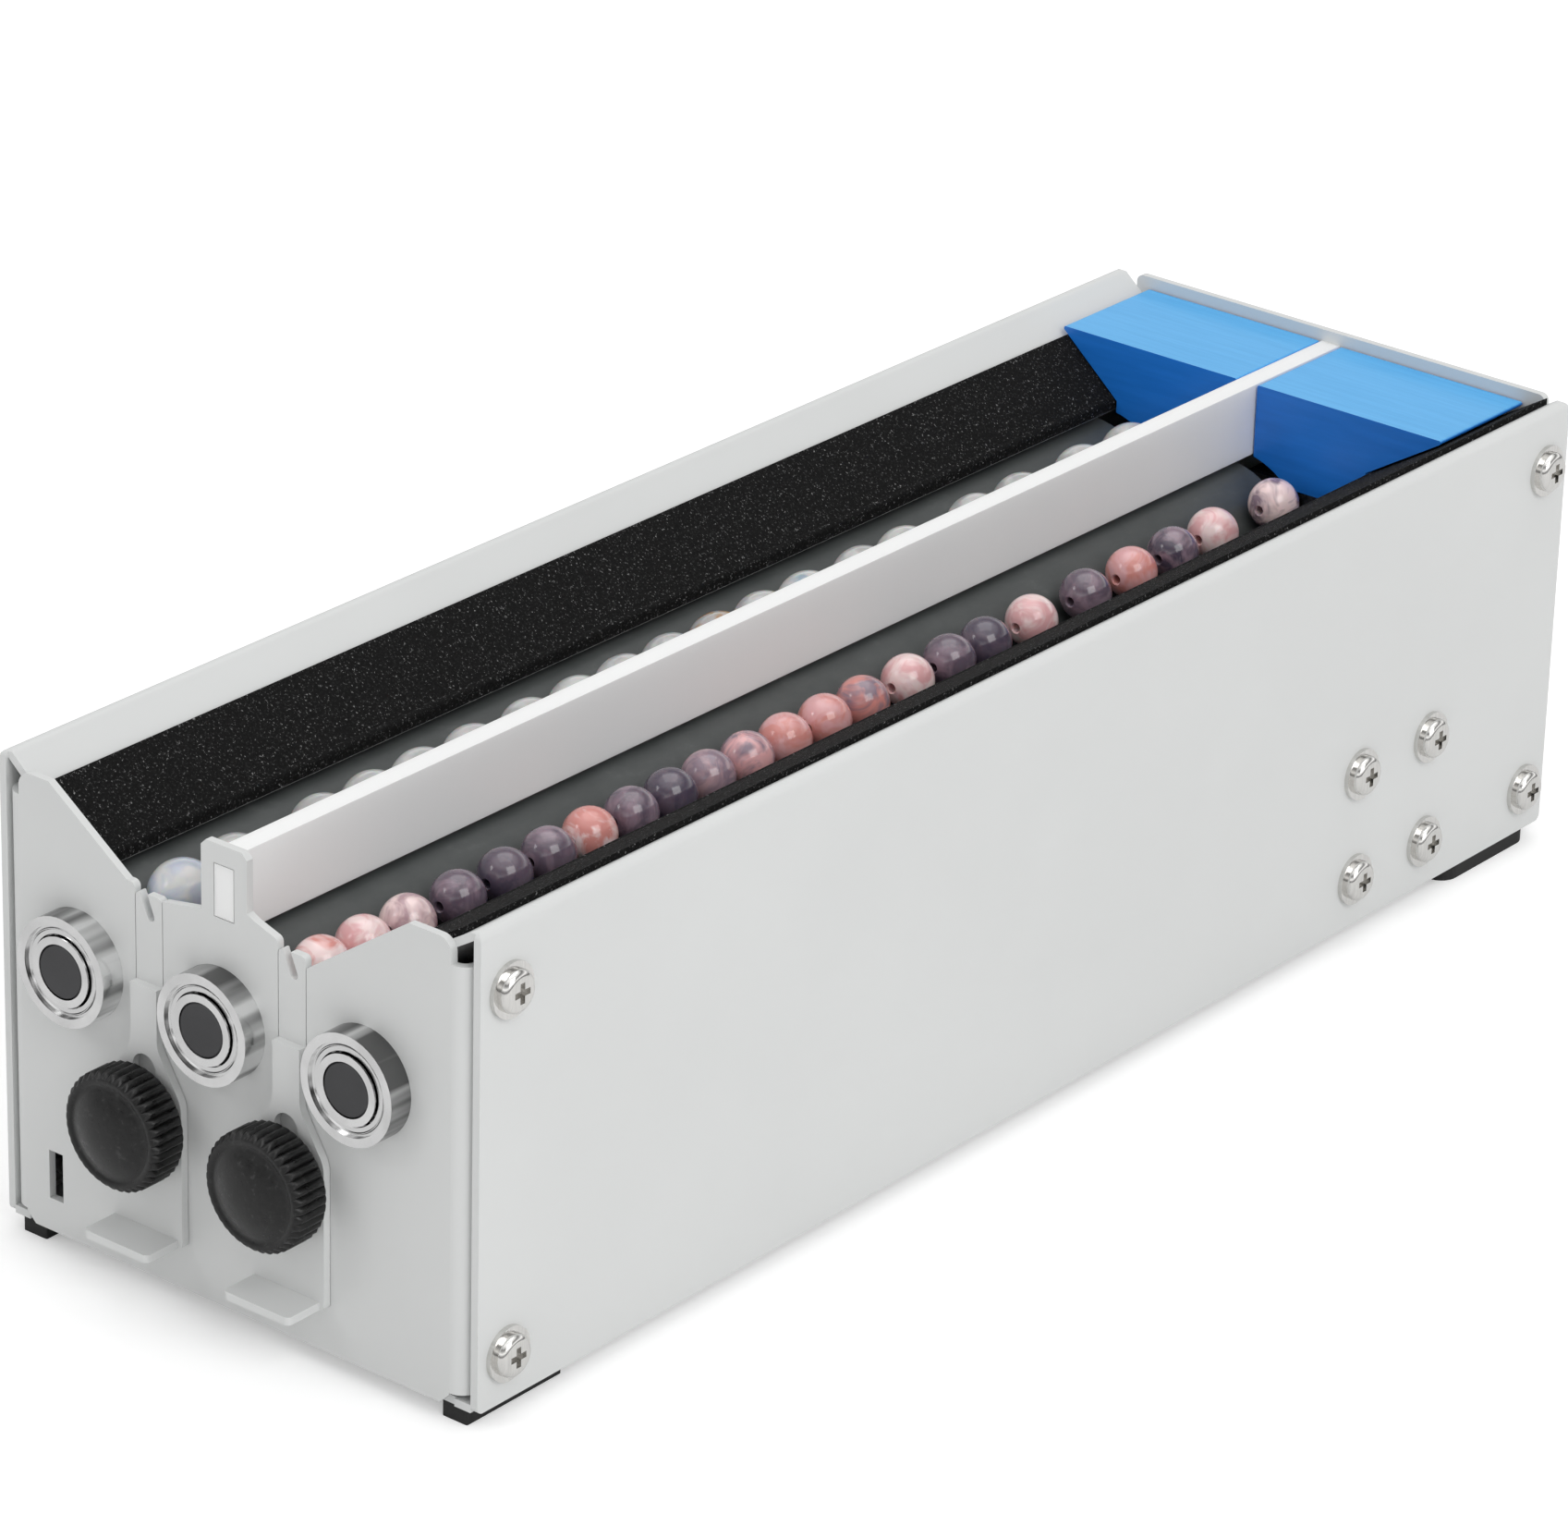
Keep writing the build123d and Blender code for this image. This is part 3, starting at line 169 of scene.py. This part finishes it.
def bearing_ring_material():
    """Turned steel whose ends are even and whose round side has painted reflections, streaked light and
    dark.
    """
    material = turned_metal("bearing_steel", (0.72, 0.72, 0.72), 0.17, streak=0.15)
    tree = material.node_tree
    shader = tree.nodes["Principled BSDF"]
    ends = shader.inputs["Base Color"].links[0].from_socket
    # Painted reflections: light and dark streaks put into the colour of the ring's round side.
    painted_reflection_streaks = noise(tree, object_points(tree, (0.26, 0.02, 0.26)), 1.0, 2.0, 0.5)
    painted_light_sides = ramp(tree, painted_reflection_streaks, (0.40, grey(0.16)), (0.50, grey(0.45)), (0.60, grey(0.88)))
    parts = node(tree, "ShaderNodeSeparateXYZ")
    tree.links.new(node(tree, "ShaderNodeNewGeometry").outputs["Normal"], parts.inputs[0])
    size = node(tree, "ShaderNodeMath", operation="ABSOLUTE")
    tree.links.new(parts.outputs["Y"], size.inputs[0])
    mix = node(tree, "ShaderNodeMix", data_type="RGBA")
    end_share = ramp(tree, size.outputs[0], (0.2, grey(0.0)), (0.6, grey(1.0)))
    tree.links.new(end_share, mix.inputs["Factor"])
    tree.links.new(painted_light_sides, mix.inputs["A"])
    tree.links.new(ends, mix.inputs["B"])
    tree.links.new(mix.outputs["Result"], shader.inputs["Base Color"])
    return material


def foam_material():
    """Dense black foam with open pores, and painted glints where the pores catch the light."""
    material, tree, shader = new_material("foam_black")
    points = object_points(tree)
    pores_and_glints = noise(tree, points, 2.6, 5.0, 0.75)
    # Painted glints: the brightest pores are coloured pale grey.
    colour = ramp(
        tree, pores_and_glints, (0.40, grey(0.003)), (0.56, grey(0.008)), (0.62, grey(0.040)), (0.67, grey(0.45)),
    )
    tree.links.new(colour, shader.inputs["Base Color"])
    shader.inputs["Roughness"].default_value = 0.9
    shader.inputs["Specular IOR Level"].default_value = 0.15
    bump(tree, shader, pores_and_glints, 0.9, 0.25 * MM)
    return material


def knob_material():
    """Black moulded plastic, scuffed by fingers."""
    material, tree, shader = new_material("knob_black")
    points = object_points(tree)
    scuffs = noise(tree, points, 0.9, 6.0, 0.7)
    colour = ramp(tree, scuffs, (0.38, grey(0.004)), (0.58, grey(0.009)), (0.72, grey(0.045)))
    tree.links.new(colour, shader.inputs["Base Color"])
    tree.links.new(ramp(tree, scuffs, (0.35, grey(0.26)), (0.65, grey(0.44))), shader.inputs["Roughness"])
    shader.inputs["Specular IOR Level"].default_value = 0.35
    bump(tree, shader, scuffs, 0.4, 0.08 * MM)
    return material


def roller_material():
    """Smooth dark rubber with faint scuffs round the roller and along it."""
    material, tree, shader = new_material("roller_rubber")
    along = noise(tree, object_points(tree, (1, 0.02, 1)), 0.5, 4.0)
    spots = noise(tree, object_points(tree, (1, 0.6, 1)), 0.22, 6.0, 0.65)
    colour = ramp(
        tree, spots, (0.35, (0.050, 0.056, 0.055)), (0.6, (0.064, 0.070, 0.069)),
        (0.72, (0.090, 0.096, 0.095)),
    )
    tree.links.new(colour, shader.inputs["Base Color"])
    tree.links.new(ramp(tree, along, (0.3, grey(0.36)), (0.7, grey(0.5))), shader.inputs["Roughness"])
    return material


def divider_material():
    """White plastic that lets a little light through."""
    material = paint("divider_white", (0.94, 0.945, 0.94), 0.42, shade=0.01)
    shader = material.node_tree.nodes["Principled BSDF"]
    shader.inputs["Subsurface Weight"].default_value = 0.35
    shader.inputs["Subsurface Radius"].default_value = (1.0, 1.0, 1.0)
    shader.inputs["Subsurface Scale"].default_value = 2.0 * MM
    return material


def block_material():
    """Blue plastic with faint slanting print lines on it, with painted light: paler where it faces up and
    darker on the sides.
    """
    material, tree, shader = new_material("block_blue")
    lines = noise(tree, object_points(tree, (0.08, 1.8, 1.0), (0, 0, radians(35))), 0.8, 4.0, 0.6)
    # Painted light: the sides get a darker blue and the upward faces a paler one.
    painted_light_sides = ramp(tree, lines, (0.35, (0.010, 0.185, 0.70)), (0.65, (0.016, 0.215, 0.78)))
    painted_lit_tops = ramp(tree, lines, (0.35, (0.080, 0.415, 0.82)), (0.65, (0.105, 0.465, 0.88)))
    normal = node(tree, "ShaderNodeNewGeometry").outputs["Normal"]
    parts = node(tree, "ShaderNodeSeparateXYZ")
    tree.links.new(normal, parts.inputs[0])
    painted_light_facing = ramp(tree, parts.outputs["Z"], (0.3, grey(0.0)), (0.9, grey(1.0)))
    mix = node(tree, "ShaderNodeMix", data_type="RGBA")
    tree.links.new(painted_light_facing, mix.inputs["Factor"])
    tree.links.new(painted_light_sides, mix.inputs["A"])
    tree.links.new(painted_lit_tops, mix.inputs["B"])
    tree.links.new(mix.outputs["Result"], shader.inputs["Base Color"])
    shader.inputs["Roughness"].default_value = 0.4
    bump(tree, shader, lines, 0.25, 0.06 * MM)
    return material


def bead_tones(tree, shader, veins, edge):
    """Each bead's light and dark colour, mixed along its veins."""
    light = node(tree, "ShaderNodeVertexColor", layer_name="light")
    dark = node(tree, "ShaderNodeVertexColor", layer_name="dark")
    mask = ramp(tree, veins, (edge[0], grey(0.0)), (edge[1], grey(1.0)))
    mix = node(tree, "ShaderNodeMix", data_type="RGBA")
    tree.links.new(mask, mix.inputs["Factor"])
    tree.links.new(dark.outputs["Color"], mix.inputs["A"])
    tree.links.new(light.outputs["Color"], mix.inputs["B"])
    tree.links.new(mix.outputs["Result"], shader.inputs["Base Color"])


def bead_material():
    """Marbled stone whose tones come from each bead's own colours."""
    material, tree, shader = new_material("bead_stone")
    veins = noise(tree, object_points(tree), 0.21, 3.0, 0.55, 1.2)
    bead_tones(tree, shader, veins, (0.42, 0.60))
    shader.inputs["Roughness"].default_value = 0.17
    shader.inputs["Coat Weight"].default_value = 0.5
    shader.inputs["Subsurface Weight"].default_value = 0.1
    shader.inputs["Subsurface Scale"].default_value = 1.0 * MM
    return material


def clear_bead_material():
    """Pale agate that lets light through."""
    material, tree, shader = new_material("bead_agate")
    veins = noise(tree, object_points(tree), 0.3, 3.0, 0.5, 0.6)
    bead_tones(tree, shader, veins, (0.40, 0.62))
    shader.inputs["Roughness"].default_value = 0.12
    shader.inputs["IOR"].default_value = 1.5
    shader.inputs["Subsurface Weight"].default_value = 0.4
    shader.inputs["Subsurface Scale"].default_value = 3.0 * MM
    shader.inputs["Transmission Weight"].default_value = 0.25
    return material


case_paint = paint("case_paint", (0.70, 0.71, 0.705), 0.42, grain=0.02, grain_scale=3.0, shade=0.012)
nickel = turned_metal("nickel_plate", (0.74, 0.73, 0.71), 0.13)
zinc = turned_metal("zinc_plate", (0.52, 0.52, 0.53), 0.35)
bearing_steel = bearing_ring_material()
spindle_steel = turned_metal("spindle_steel", (0.085, 0.085, 0.088), 0.45)
aluminium = turned_metal("aluminium", (0.70, 0.70, 0.72), 0.3)
brass = turned_metal("brass", (0.75, 0.56, 0.27), 0.28)
shield_steel = turned_metal("shield_steel", (0.66, 0.66, 0.66), 0.18, streak=0.05)
foam = foam_material()
rubber = roller_material()
foot_rubber = paint("foot_rubber", (0.012, 0.012, 0.012), 0.7, grain=0.04)
belt_rubber = paint("belt_rubber", (0.018, 0.018, 0.018), 0.6, grain=0.03)
divider_white = divider_material()
block_blue = block_material()
knob_black = knob_material()
fitting_black = paint("fitting_black", (0.02, 0.02, 0.02), 0.4, grain=0.02)
board_green = paint("board_green", (0.01, 0.09, 0.035), 0.35, shade=0.1)
stone = bead_material()
agate = clear_bead_material()

NODE_FINISH = {
    "front_plate": (case_paint, SHEET_EDGE), "rear_plate": (case_paint, SHEET_EDGE),
    "left_panel": (case_paint, SHEET_EDGE), "right_panel": (case_paint, SHEET_EDGE),
    "base_plate": (case_paint, SHEET_EDGE), "feet": (foot_rubber, SOFT_EDGE),
    "corner_screws": (nickel, FINE_EDGE), "bracket_screws": (nickel, FINE_EDGE),
    "small_screws": (nickel, FINE_EDGE), "corner_nuts": (nickel, FINE_EDGE),
    "left_foam": (foam, SOFT_EDGE), "right_foam": (foam, SOFT_EDGE),
    "divider": (divider_white, SHEET_EDGE), "left_block": (block_blue, SHEET_EDGE),
    "right_block": (block_blue, SHEET_EDGE), "bearing_outer_rings": (bearing_steel, SOFT_EDGE),
    "bearing_shields": (bearing_steel, FINE_EDGE), "bearing_balls": (bearing_steel, 0),
    "motor_gearbox": (zinc, SHEET_EDGE), "motor_can": (zinc, 0), "motor_bracket": (zinc, SHEET_EDGE),
    "motor_shaft": (spindle_steel, FINE_EDGE), "motor_terminals": (brass, FINE_EDGE),
    "motor_pulley": (brass, FINE_EDGE), "drive_belt": (belt_rubber, FINE_EDGE),
    "left_belt": (belt_rubber, FINE_EDGE), "right_belt": (belt_rubber, FINE_EDGE),
    "left_slide": (case_paint, SHEET_EDGE), "right_slide": (case_paint, SHEET_EDGE),
    "left_clamp_nut": (nickel, FINE_EDGE), "right_clamp_nut": (nickel, FINE_EDGE),
    "left_knob": (knob_black, FINE_EDGE), "right_knob": (knob_black, FINE_EDGE),
    "control_board": (board_green, FINE_EDGE), "board_posts": (nickel, FINE_EDGE),
    "board_parts": (fitting_black, SHEET_EDGE), "power_inlet": (fitting_black, FINE_EDGE),
    "inlet_pin": (brass, FINE_EDGE),
    "switch_body": (fitting_black, SHEET_EDGE), "switch_rocker": (fitting_black, SHEET_EDGE),
    "speed_control": (zinc, SHEET_EDGE), "speed_control_nut": (nickel, SHEET_EDGE),
    "speed_knob": (knob_black, SHEET_EDGE), "left_beads": (agate, 0), "right_beads": (stone, 0),
}
for roller in ("left", "middle", "right"):
    NODE_FINISH[f"{roller}_roller_core"] = (spindle_steel, FINE_EDGE)
    NODE_FINISH[f"{roller}_roller_sleeve"] = (rubber, SOFT_EDGE)
    NODE_FINISH[f"{roller}_inner_rings"] = (bearing_steel, SHEET_EDGE)
    NODE_FINISH[f"{roller}_roller_pulley"] = (aluminium, FINE_EDGE)


def rounded(obj, width):
    """A small round on every sharp edge."""
    made = obj.modifiers.new("round", "BEVEL")
    made.width = width
    made.segments = EDGE_STEPS
    made.limit_method = "ANGLE"
    made.angle_limit = EDGE_ANGLE
    made.harden_normals = False


def set_material(obj, material):
    if not obj.material_slots:
        obj.data.materials.append(material)
    for place in obj.material_slots:
        place.link = "OBJECT"
        place.material = material


for name, (material, edge) in NODE_FINISH.items():
    set_material(nodes[name], material)
    if edge:
        rounded(nodes[name], edge)


# Pieces made here

def add_mesh(name, mesh, material, body, smooth_angle=35):
    """A new piece from a bmesh, riding on a body."""
    data = bpy.data.meshes.new(name)
    mesh.to_mesh(data)
    mesh.free()
    obj = bpy.data.objects.new(name, data)
    scene.collection.objects.link(obj)
    data.materials.append(material)
    data.shade_smooth()
    data.set_sharp_from_angle(angle=radians(smooth_angle))
    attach(obj, body)
    return obj


def island_boxes(name):
    """The box of each separate solid in a CAD node."""
    mesh = bmesh.new()
    mesh.from_mesh(nodes[name].data)
    bmesh.ops.remove_doubles(mesh, verts=mesh.verts, dist=MERGE_DISTANCE)
    left = set(mesh.verts)
    boxes = []
    while left:
        front = [left.pop()]
        found = list(front)
        while front:
            for edge in front.pop().link_edges:
                for vert in edge.verts:
                    if vert in left:
                        left.remove(vert)
                        front.append(vert)
                        found.append(vert)
        low = Vector([min(v.co[i] for v in found) for i in range(3)])
        high = Vector([max(v.co[i] for v in found) for i in range(3)])
        boxes.append((low, high))
    mesh.free()
    return boxes


def lathe(profile, steps=CURVE_STEPS):
    """A bmesh turned round the Y axis from closed (radius, y) points."""
    mesh = bmesh.new()
    rings = []
    for step in range(steps):
        turn = 2 * pi * step / steps
        rings.append([mesh.verts.new((r * cos(turn), y, r * sin(turn))) for r, y in profile])
    count = len(profile)
    for step in range(steps):
        here = rings[step]
        there = rings[(step + 1) % steps]
        for point in range(count):
            following = (point + 1) % count
            mesh.faces.new((here[point], here[following], there[following], there[point]))
    bmesh.ops.remove_doubles(mesh, verts=mesh.verts, dist=MERGE_DISTANCE)
    bmesh.ops.recalc_face_normals(mesh, faces=mesh.faces)
    return mesh


# Bearing shields, pressed with a step

SHIELD_INNER_SHARE = 5.35 / 6.7
RIM_FOOT_INSET = 0.38 * MM
RIM_FACE_INSET = 0.52 * MM
STEP_FACE_REACH = 0.75 * MM
STEP_FOOT_REACH = 0.6 * MM


def shield_profile(inner, outer, front, rear, out):
    """Closed (radius, y) points of one stepped shield; out is the way its face looks."""
    low = (front + rear) / 2
    face, back = (front, rear) if out < 0 else (rear, front)
    return [
        (outer, back), (outer, low), (outer - RIM_FOOT_INSET, low), (outer - RIM_FACE_INSET, face),
        (inner + STEP_FACE_REACH, face), (inner + STEP_FOOT_REACH, low), (inner, low), (inner, back),
    ]


def add_shields():
    """The shields of every bearing, each with a rolled rim and a raised middle."""
    name = "bearing_shields"
    made = 0
    for low, high in island_boxes(name):
        centre = (low + high) / 2
        outer = (high.x - low.x) / 2
        out = -1 if centre.y < 0 else 1
        profile = shield_profile(outer * SHIELD_INNER_SHARE, outer, low.y, high.y, out)
        mesh = lathe(profile)
        bmesh.ops.translate(mesh, verts=mesh.verts, vec=(centre.x, 0, centre.z))
        made += 1
        piece = add_mesh(f"bearing_shield_{made:02d}", mesh, shield_steel, "case", 20)
        if made == 1:
            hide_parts(name)


add_shields()


# Thumb knobs, ribbed round the side and domed in front

KNOB_RIBS = 40
KNOB_RIB_STEPS = 8
KNOB_RIB_DEPTH = 0.6 * MM
KNOB_BODY = 5.8 * MM
KNOB_RISE = 1.4 * MM
KNOB_NECK = 4.2 * MM
KNOB_REAR_ROUND = 0.6 * MM
KNOB_REAR_INSET = 0.45 * MM
KNOB_REAR_RIB_SHARE = 0.2
STUD_RADIUS = 2.0 * MM
AXIS_RADIUS = 0.01 * MM
DOME_STEPS = 12
DOME_SHARE = 0.78
DOME_DROP_SHARE = 1.15
DOME_CURVE = 2.2
# Reach past the dome and drop behind the rim, in millimetres
KNOB_LIP = ((0.25, 0.14), (0.45, 0.02))
# Inset from the rim, drop behind it, and share of the ribs' depth
KNOB_SHOULDER = ((0.95, 0, 0), (0.75, 0.05, 0.15), (0.2, 0.62, 0.8), (0, 0.95, 1))


def knob_profile(radius, front, neck_rear, rear):
    """(radius, y, rib share) points from the middle of the face round to the end of the stud."""
    body_front = front + KNOB_RISE
    body_rear = body_front + KNOB_BODY
    dome = radius * DOME_SHARE
    points = []
    for step in range(DOME_STEPS):
        share = step / (DOME_STEPS - 1)
        drop = KNOB_RISE * DOME_DROP_SHARE * share ** DOME_CURVE
        points.append((max(dome * share, AXIS_RADIUS), front + drop, 0))
    points += [(dome + reach * MM, body_front + drop * MM, 0) for reach, drop in KNOB_LIP]
    points += [
        (radius - inset * MM, body_front + drop * MM, share) for inset, drop, share in KNOB_SHOULDER
    ]
    points += [
        (radius, (body_front + body_rear) / 2, 1), (radius, body_rear - KNOB_REAR_ROUND, 1),
        (radius - KNOB_REAR_INSET, body_rear, KNOB_REAR_RIB_SHARE),
        (KNOB_NECK, body_rear, 0), (KNOB_NECK, neck_rear, 0),
        (STUD_RADIUS, neck_rear, 0), (STUD_RADIUS, rear, 0), (AXIS_RADIUS, rear, 0),
    ]
    return points


def ribbed_lathe(profile, ribs, rib_steps, depth):
    """A bmesh turned round the Y axis, its radius pulled in between the ribs."""
    mesh = bmesh.new()
    steps = ribs * rib_steps
    rings = []
    for step in range(steps):
        turn = 2 * pi * step / steps
        valley = 1 - abs(cos(turn * ribs / 2))
        ring = []
        for r, y, share in profile:
            reach = r - depth * share * valley
            ring.append(mesh.verts.new((reach * cos(turn), y, reach * sin(turn))))
        rings.append(ring)
    for step in range(steps):
        here = rings[step]
        there = rings[(step + 1) % steps]
        for point in range(len(profile) - 1):
            mesh.faces.new((here[point], here[point + 1], there[point + 1], there[point]))
    for point, backwards in ((0, False), (len(profile) - 1, True)):
        cap = [ring[point] for ring in rings]
        mesh.faces.new(cap[::-1] if backwards else cap)
    bmesh.ops.recalc_face_normals(mesh, faces=mesh.faces)
    return mesh


def add_knob(side):
    name = f"{side}_knob"
    boxes = sorted(island_boxes(name), key=lambda b: b[0].y)
    (low, high), (stud_low, stud_high) = boxes[0], boxes[-1]
    profile = knob_profile((high.x - low.x) / 2, low.y, high.y, stud_high.y)
    mesh = ribbed_lathe(profile, KNOB_RIBS, KNOB_RIB_STEPS, KNOB_RIB_DEPTH)
    bmesh.ops.translate(mesh, verts=mesh.verts, vec=((low.x + high.x) / 2, 0, (low.z + high.z) / 2))
    piece = add_mesh(f"{side}_knob_ribbed", mesh, knob_black, name, 50)
    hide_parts(name)


add_knob("left")
add_knob("right")


# Beads

BEAD_SEGMENTS = 40
BEAD_HOLE_SHARE = 0.16
BEAD_RIM_SHARE = 1.35
BEAD_HOLE_DEPTH_SHARE = 0.93
PINK = (0.78, 0.42, 0.43)
PALE_PINK = (0.93, 0.72, 0.71)
CORAL = (0.72, 0.29, 0.26)
DUSK = (0.48, 0.31, 0.34)
MAUVE = (0.27, 0.19, 0.24)
DARK_MAUVE = (0.135, 0.098, 0.135)
PLUM = (0.085, 0.065, 0.100)
RIGHT_BEADS = [
    (PALE_PINK, CORAL), (PALE_PINK, PINK), (PALE_PINK, DUSK), (MAUVE, DARK_MAUVE), (DARK_MAUVE, PLUM),
    (MAUVE, DARK_MAUVE), (PALE_PINK, CORAL), (MAUVE, DARK_MAUVE), (DARK_MAUVE, PLUM), (DUSK, MAUVE),
    (PINK, MAUVE), (PINK, CORAL), (CORAL, PINK), (MAUVE, CORAL), (PALE_PINK, PINK), (MAUVE, DARK_MAUVE),
    (DARK_MAUVE, PLUM), (PALE_PINK, PINK), (MAUVE, DARK_MAUVE), (PINK, CORAL), (MAUVE, PLUM),
    (PALE_PINK, PINK), (MAUVE, PALE_PINK),
]
CLEAR = (0.84, 0.85, 0.84)
SMOKE = (0.62, 0.63, 0.63)
MOON = (0.66, 0.71, 0.82)
AMBER = (0.62, 0.33, 0.14)
ICE = (0.45, 0.60, 0.70)
LEFT_BEADS = [(CLEAR, MOON)] + [(CLEAR, SMOKE)] * 9
LEFT_BEADS += [(AMBER, SMOKE), (CLEAR, SMOKE), (ICE, CLEAR), (CLEAR, SMOKE)]


def bead_mesh(centre, radius, light, dark, spin):
    """A drilled bead with a countersunk hole along the case."""
    hole = radius * BEAD_HOLE_SHARE
    rim = hole * BEAD_RIM_SHARE
    profile = []
    steps = BEAD_SEGMENTS // 2
    start = radians(90) - rim / radius
    for step in range(steps + 1):
        angle = -start + 2 * start * step / steps
        profile.append((radius * cos(angle), radius * sin(angle)))
    depth = radius * BEAD_HOLE_DEPTH_SHARE
    profile += [(hole, depth), (hole, -depth)]
    mesh = lathe(profile, BEAD_SEGMENTS)
    turn = Matrix.Rotation(spin, 4, "Y")
    for vert in mesh.verts:
        vert.co = turn @ vert.co + centre
    for name, colour in (("light", light), ("dark", dark)):
        layer = mesh.verts.layers.float_color.new(name)
        for vert in mesh.verts:
            vert[layer] = (*colour, 1)
    return mesh


def add_beads(side, colours, material):
    """One bead for each of the row's solids; past the end of the colours the last ones go on."""
    name = f"{side}_beads"
    boxes = sorted(island_boxes(name), key=lambda b: b[0].y)
    rand = Random(side)
    for place, (low, high) in enumerate(boxes):
        centre = (low + high) / 2
        radius = (high.y - low.y) / 2
        light, dark = colours[min(place, len(colours) - 1)]
        mesh = bead_mesh(centre, radius, light, dark, rand.uniform(0, 2 * pi))
        piece = add_mesh(f"{side}_bead_{place + 1:02d}", mesh, material, f"{side}_bead_row")
        if place == 0:
            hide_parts(name)


add_beads("right", RIGHT_BEADS, stone)
add_beads("left", LEFT_BEADS, agate)


# Floor, light and camera

def add_floor():
    """A pale floor that keeps the shadow and looks almost white to the camera."""
    bpy.ops.mesh.primitive_plane_add(size=FLOOR_SIZE)
    floor = bpy.context.object
    floor.name = "studio_floor"
    material, tree, shader = new_material("studio_floor")
    shader.inputs["Base Color"].default_value = (0.90, 0.90, 0.90, 1)
    shader.inputs["Roughness"].default_value = 0.9
    shader.inputs["Specular IOR Level"].default_value = 0.1
    shader.inputs["Emission Color"].default_value = (1, 1, 1, 1)
    path = node(tree, "ShaderNodeLightPath")
    lift = node(tree, "ShaderNodeMath", operation="MULTIPLY")
    tree.links.new(path.outputs["Is Camera Ray"], lift.inputs[0])
    lift.inputs[1].default_value = FLOOR_LIFT
    tree.links.new(lift.outputs[0], shader.inputs["Emission Strength"])
    floor.data.materials.append(material)


def add_world():
    """Even pale light, darker low down for what mirrors it, with plain white behind the object."""
    world = bpy.data.worlds.new("studio")
    scene.world = world
    world.use_nodes = True
    tree = world.node_tree
    tree.nodes.clear()
    light = node(tree, "ShaderNodeBackground", Color=(1.0, 1.0, 1.0, 1), Strength=WORLD_LIGHT)
    white = node(tree, "ShaderNodeBackground", Color=(1.0, 1.0, 1.0, 1), Strength=1.0)
    mirrored = node(tree, "ShaderNodeBackground", Strength=1.0)
    coords = node(tree, "ShaderNodeTexCoord")
    parts = node(tree, "ShaderNodeSeparateXYZ")
    tree.links.new(coords.outputs["Generated"], parts.inputs[0])
    bands = ramp(
        tree, parts.outputs["Z"], (0.0, grey(0.22)), (0.12, grey(0.30)), (0.30, grey(1.35)),
        (0.48, grey(0.55)), (0.62, grey(0.22)), (0.85, grey(1.3)),
    )
    tree.links.new(bands, mirrored.inputs["Color"])
    path = node(tree, "ShaderNodeLightPath")
    either = node(tree, "ShaderNodeMath", operation="MAXIMUM")
    tree.links.new(path.outputs["Is Camera Ray"], either.inputs[0])
    tree.links.new(path.outputs["Is Transmission Ray"], either.inputs[1])
    first = node(tree, "ShaderNodeMixShader")
    tree.links.new(path.outputs["Is Glossy Ray"], first.inputs["Fac"])
    tree.links.new(light.outputs[0], first.inputs[1])
    tree.links.new(mirrored.outputs[0], first.inputs[2])
    mix = node(tree, "ShaderNodeMixShader")
    tree.links.new(either.outputs[0], mix.inputs["Fac"])
    tree.links.new(first.outputs[0], mix.inputs[1])
    tree.links.new(white.outputs[0], mix.inputs[2])
    out = node(tree, "ShaderNodeOutputWorld")
    tree.links.new(mix.outputs[0], out.inputs["Surface"])


def add_lamp(name, place, size, power):
    light = bpy.data.lights.new(name, "AREA")
    light.shape = "RECTANGLE"
    light.size = light.size_y = size
    light.energy = power
    obj = bpy.data.objects.new(name, light)
    scene.collection.objects.link(obj)
    obj.location = place
    obj.rotation_euler = (LAMP_AIM - Vector(place)).to_track_quat("-Z", "Y").to_euler()


def add_camera():
    data = bpy.data.cameras.new("camera")
    data.sensor_width = SENSOR_WIDTH
    data.lens = FOCAL_PIXELS * SENSOR_WIDTH / IMAGE_WIDTH
    data.clip_start = CLIP_START
    data.clip_end = CLIP_END
    camera = bpy.data.objects.new("camera", data)
    scene.collection.objects.link(camera)
    back = Vector((
        sin(VIEW_AZIMUTH) * cos(VIEW_ELEVATION),
        -cos(VIEW_AZIMUTH) * cos(VIEW_ELEVATION),
        sin(VIEW_ELEVATION),
    ))
    level = Vector((cos(VIEW_AZIMUTH), sin(VIEW_AZIMUTH), 0))
    right = Matrix.Rotation(VIEW_ROLL, 3, back) @ level
    up = back.cross(right)
    turn = Matrix((right, up, back)).transposed().to_4x4()
    camera.matrix_world = Matrix.Translation(VIEW_AIM + back * VIEW_DISTANCE) @ turn
    scene.camera = camera


add_floor()
add_world()
for name, (place, size, power) in LAMPS.items():
    add_lamp(name, place, size, power)
add_camera()
scene.view_settings.view_transform = "Standard"
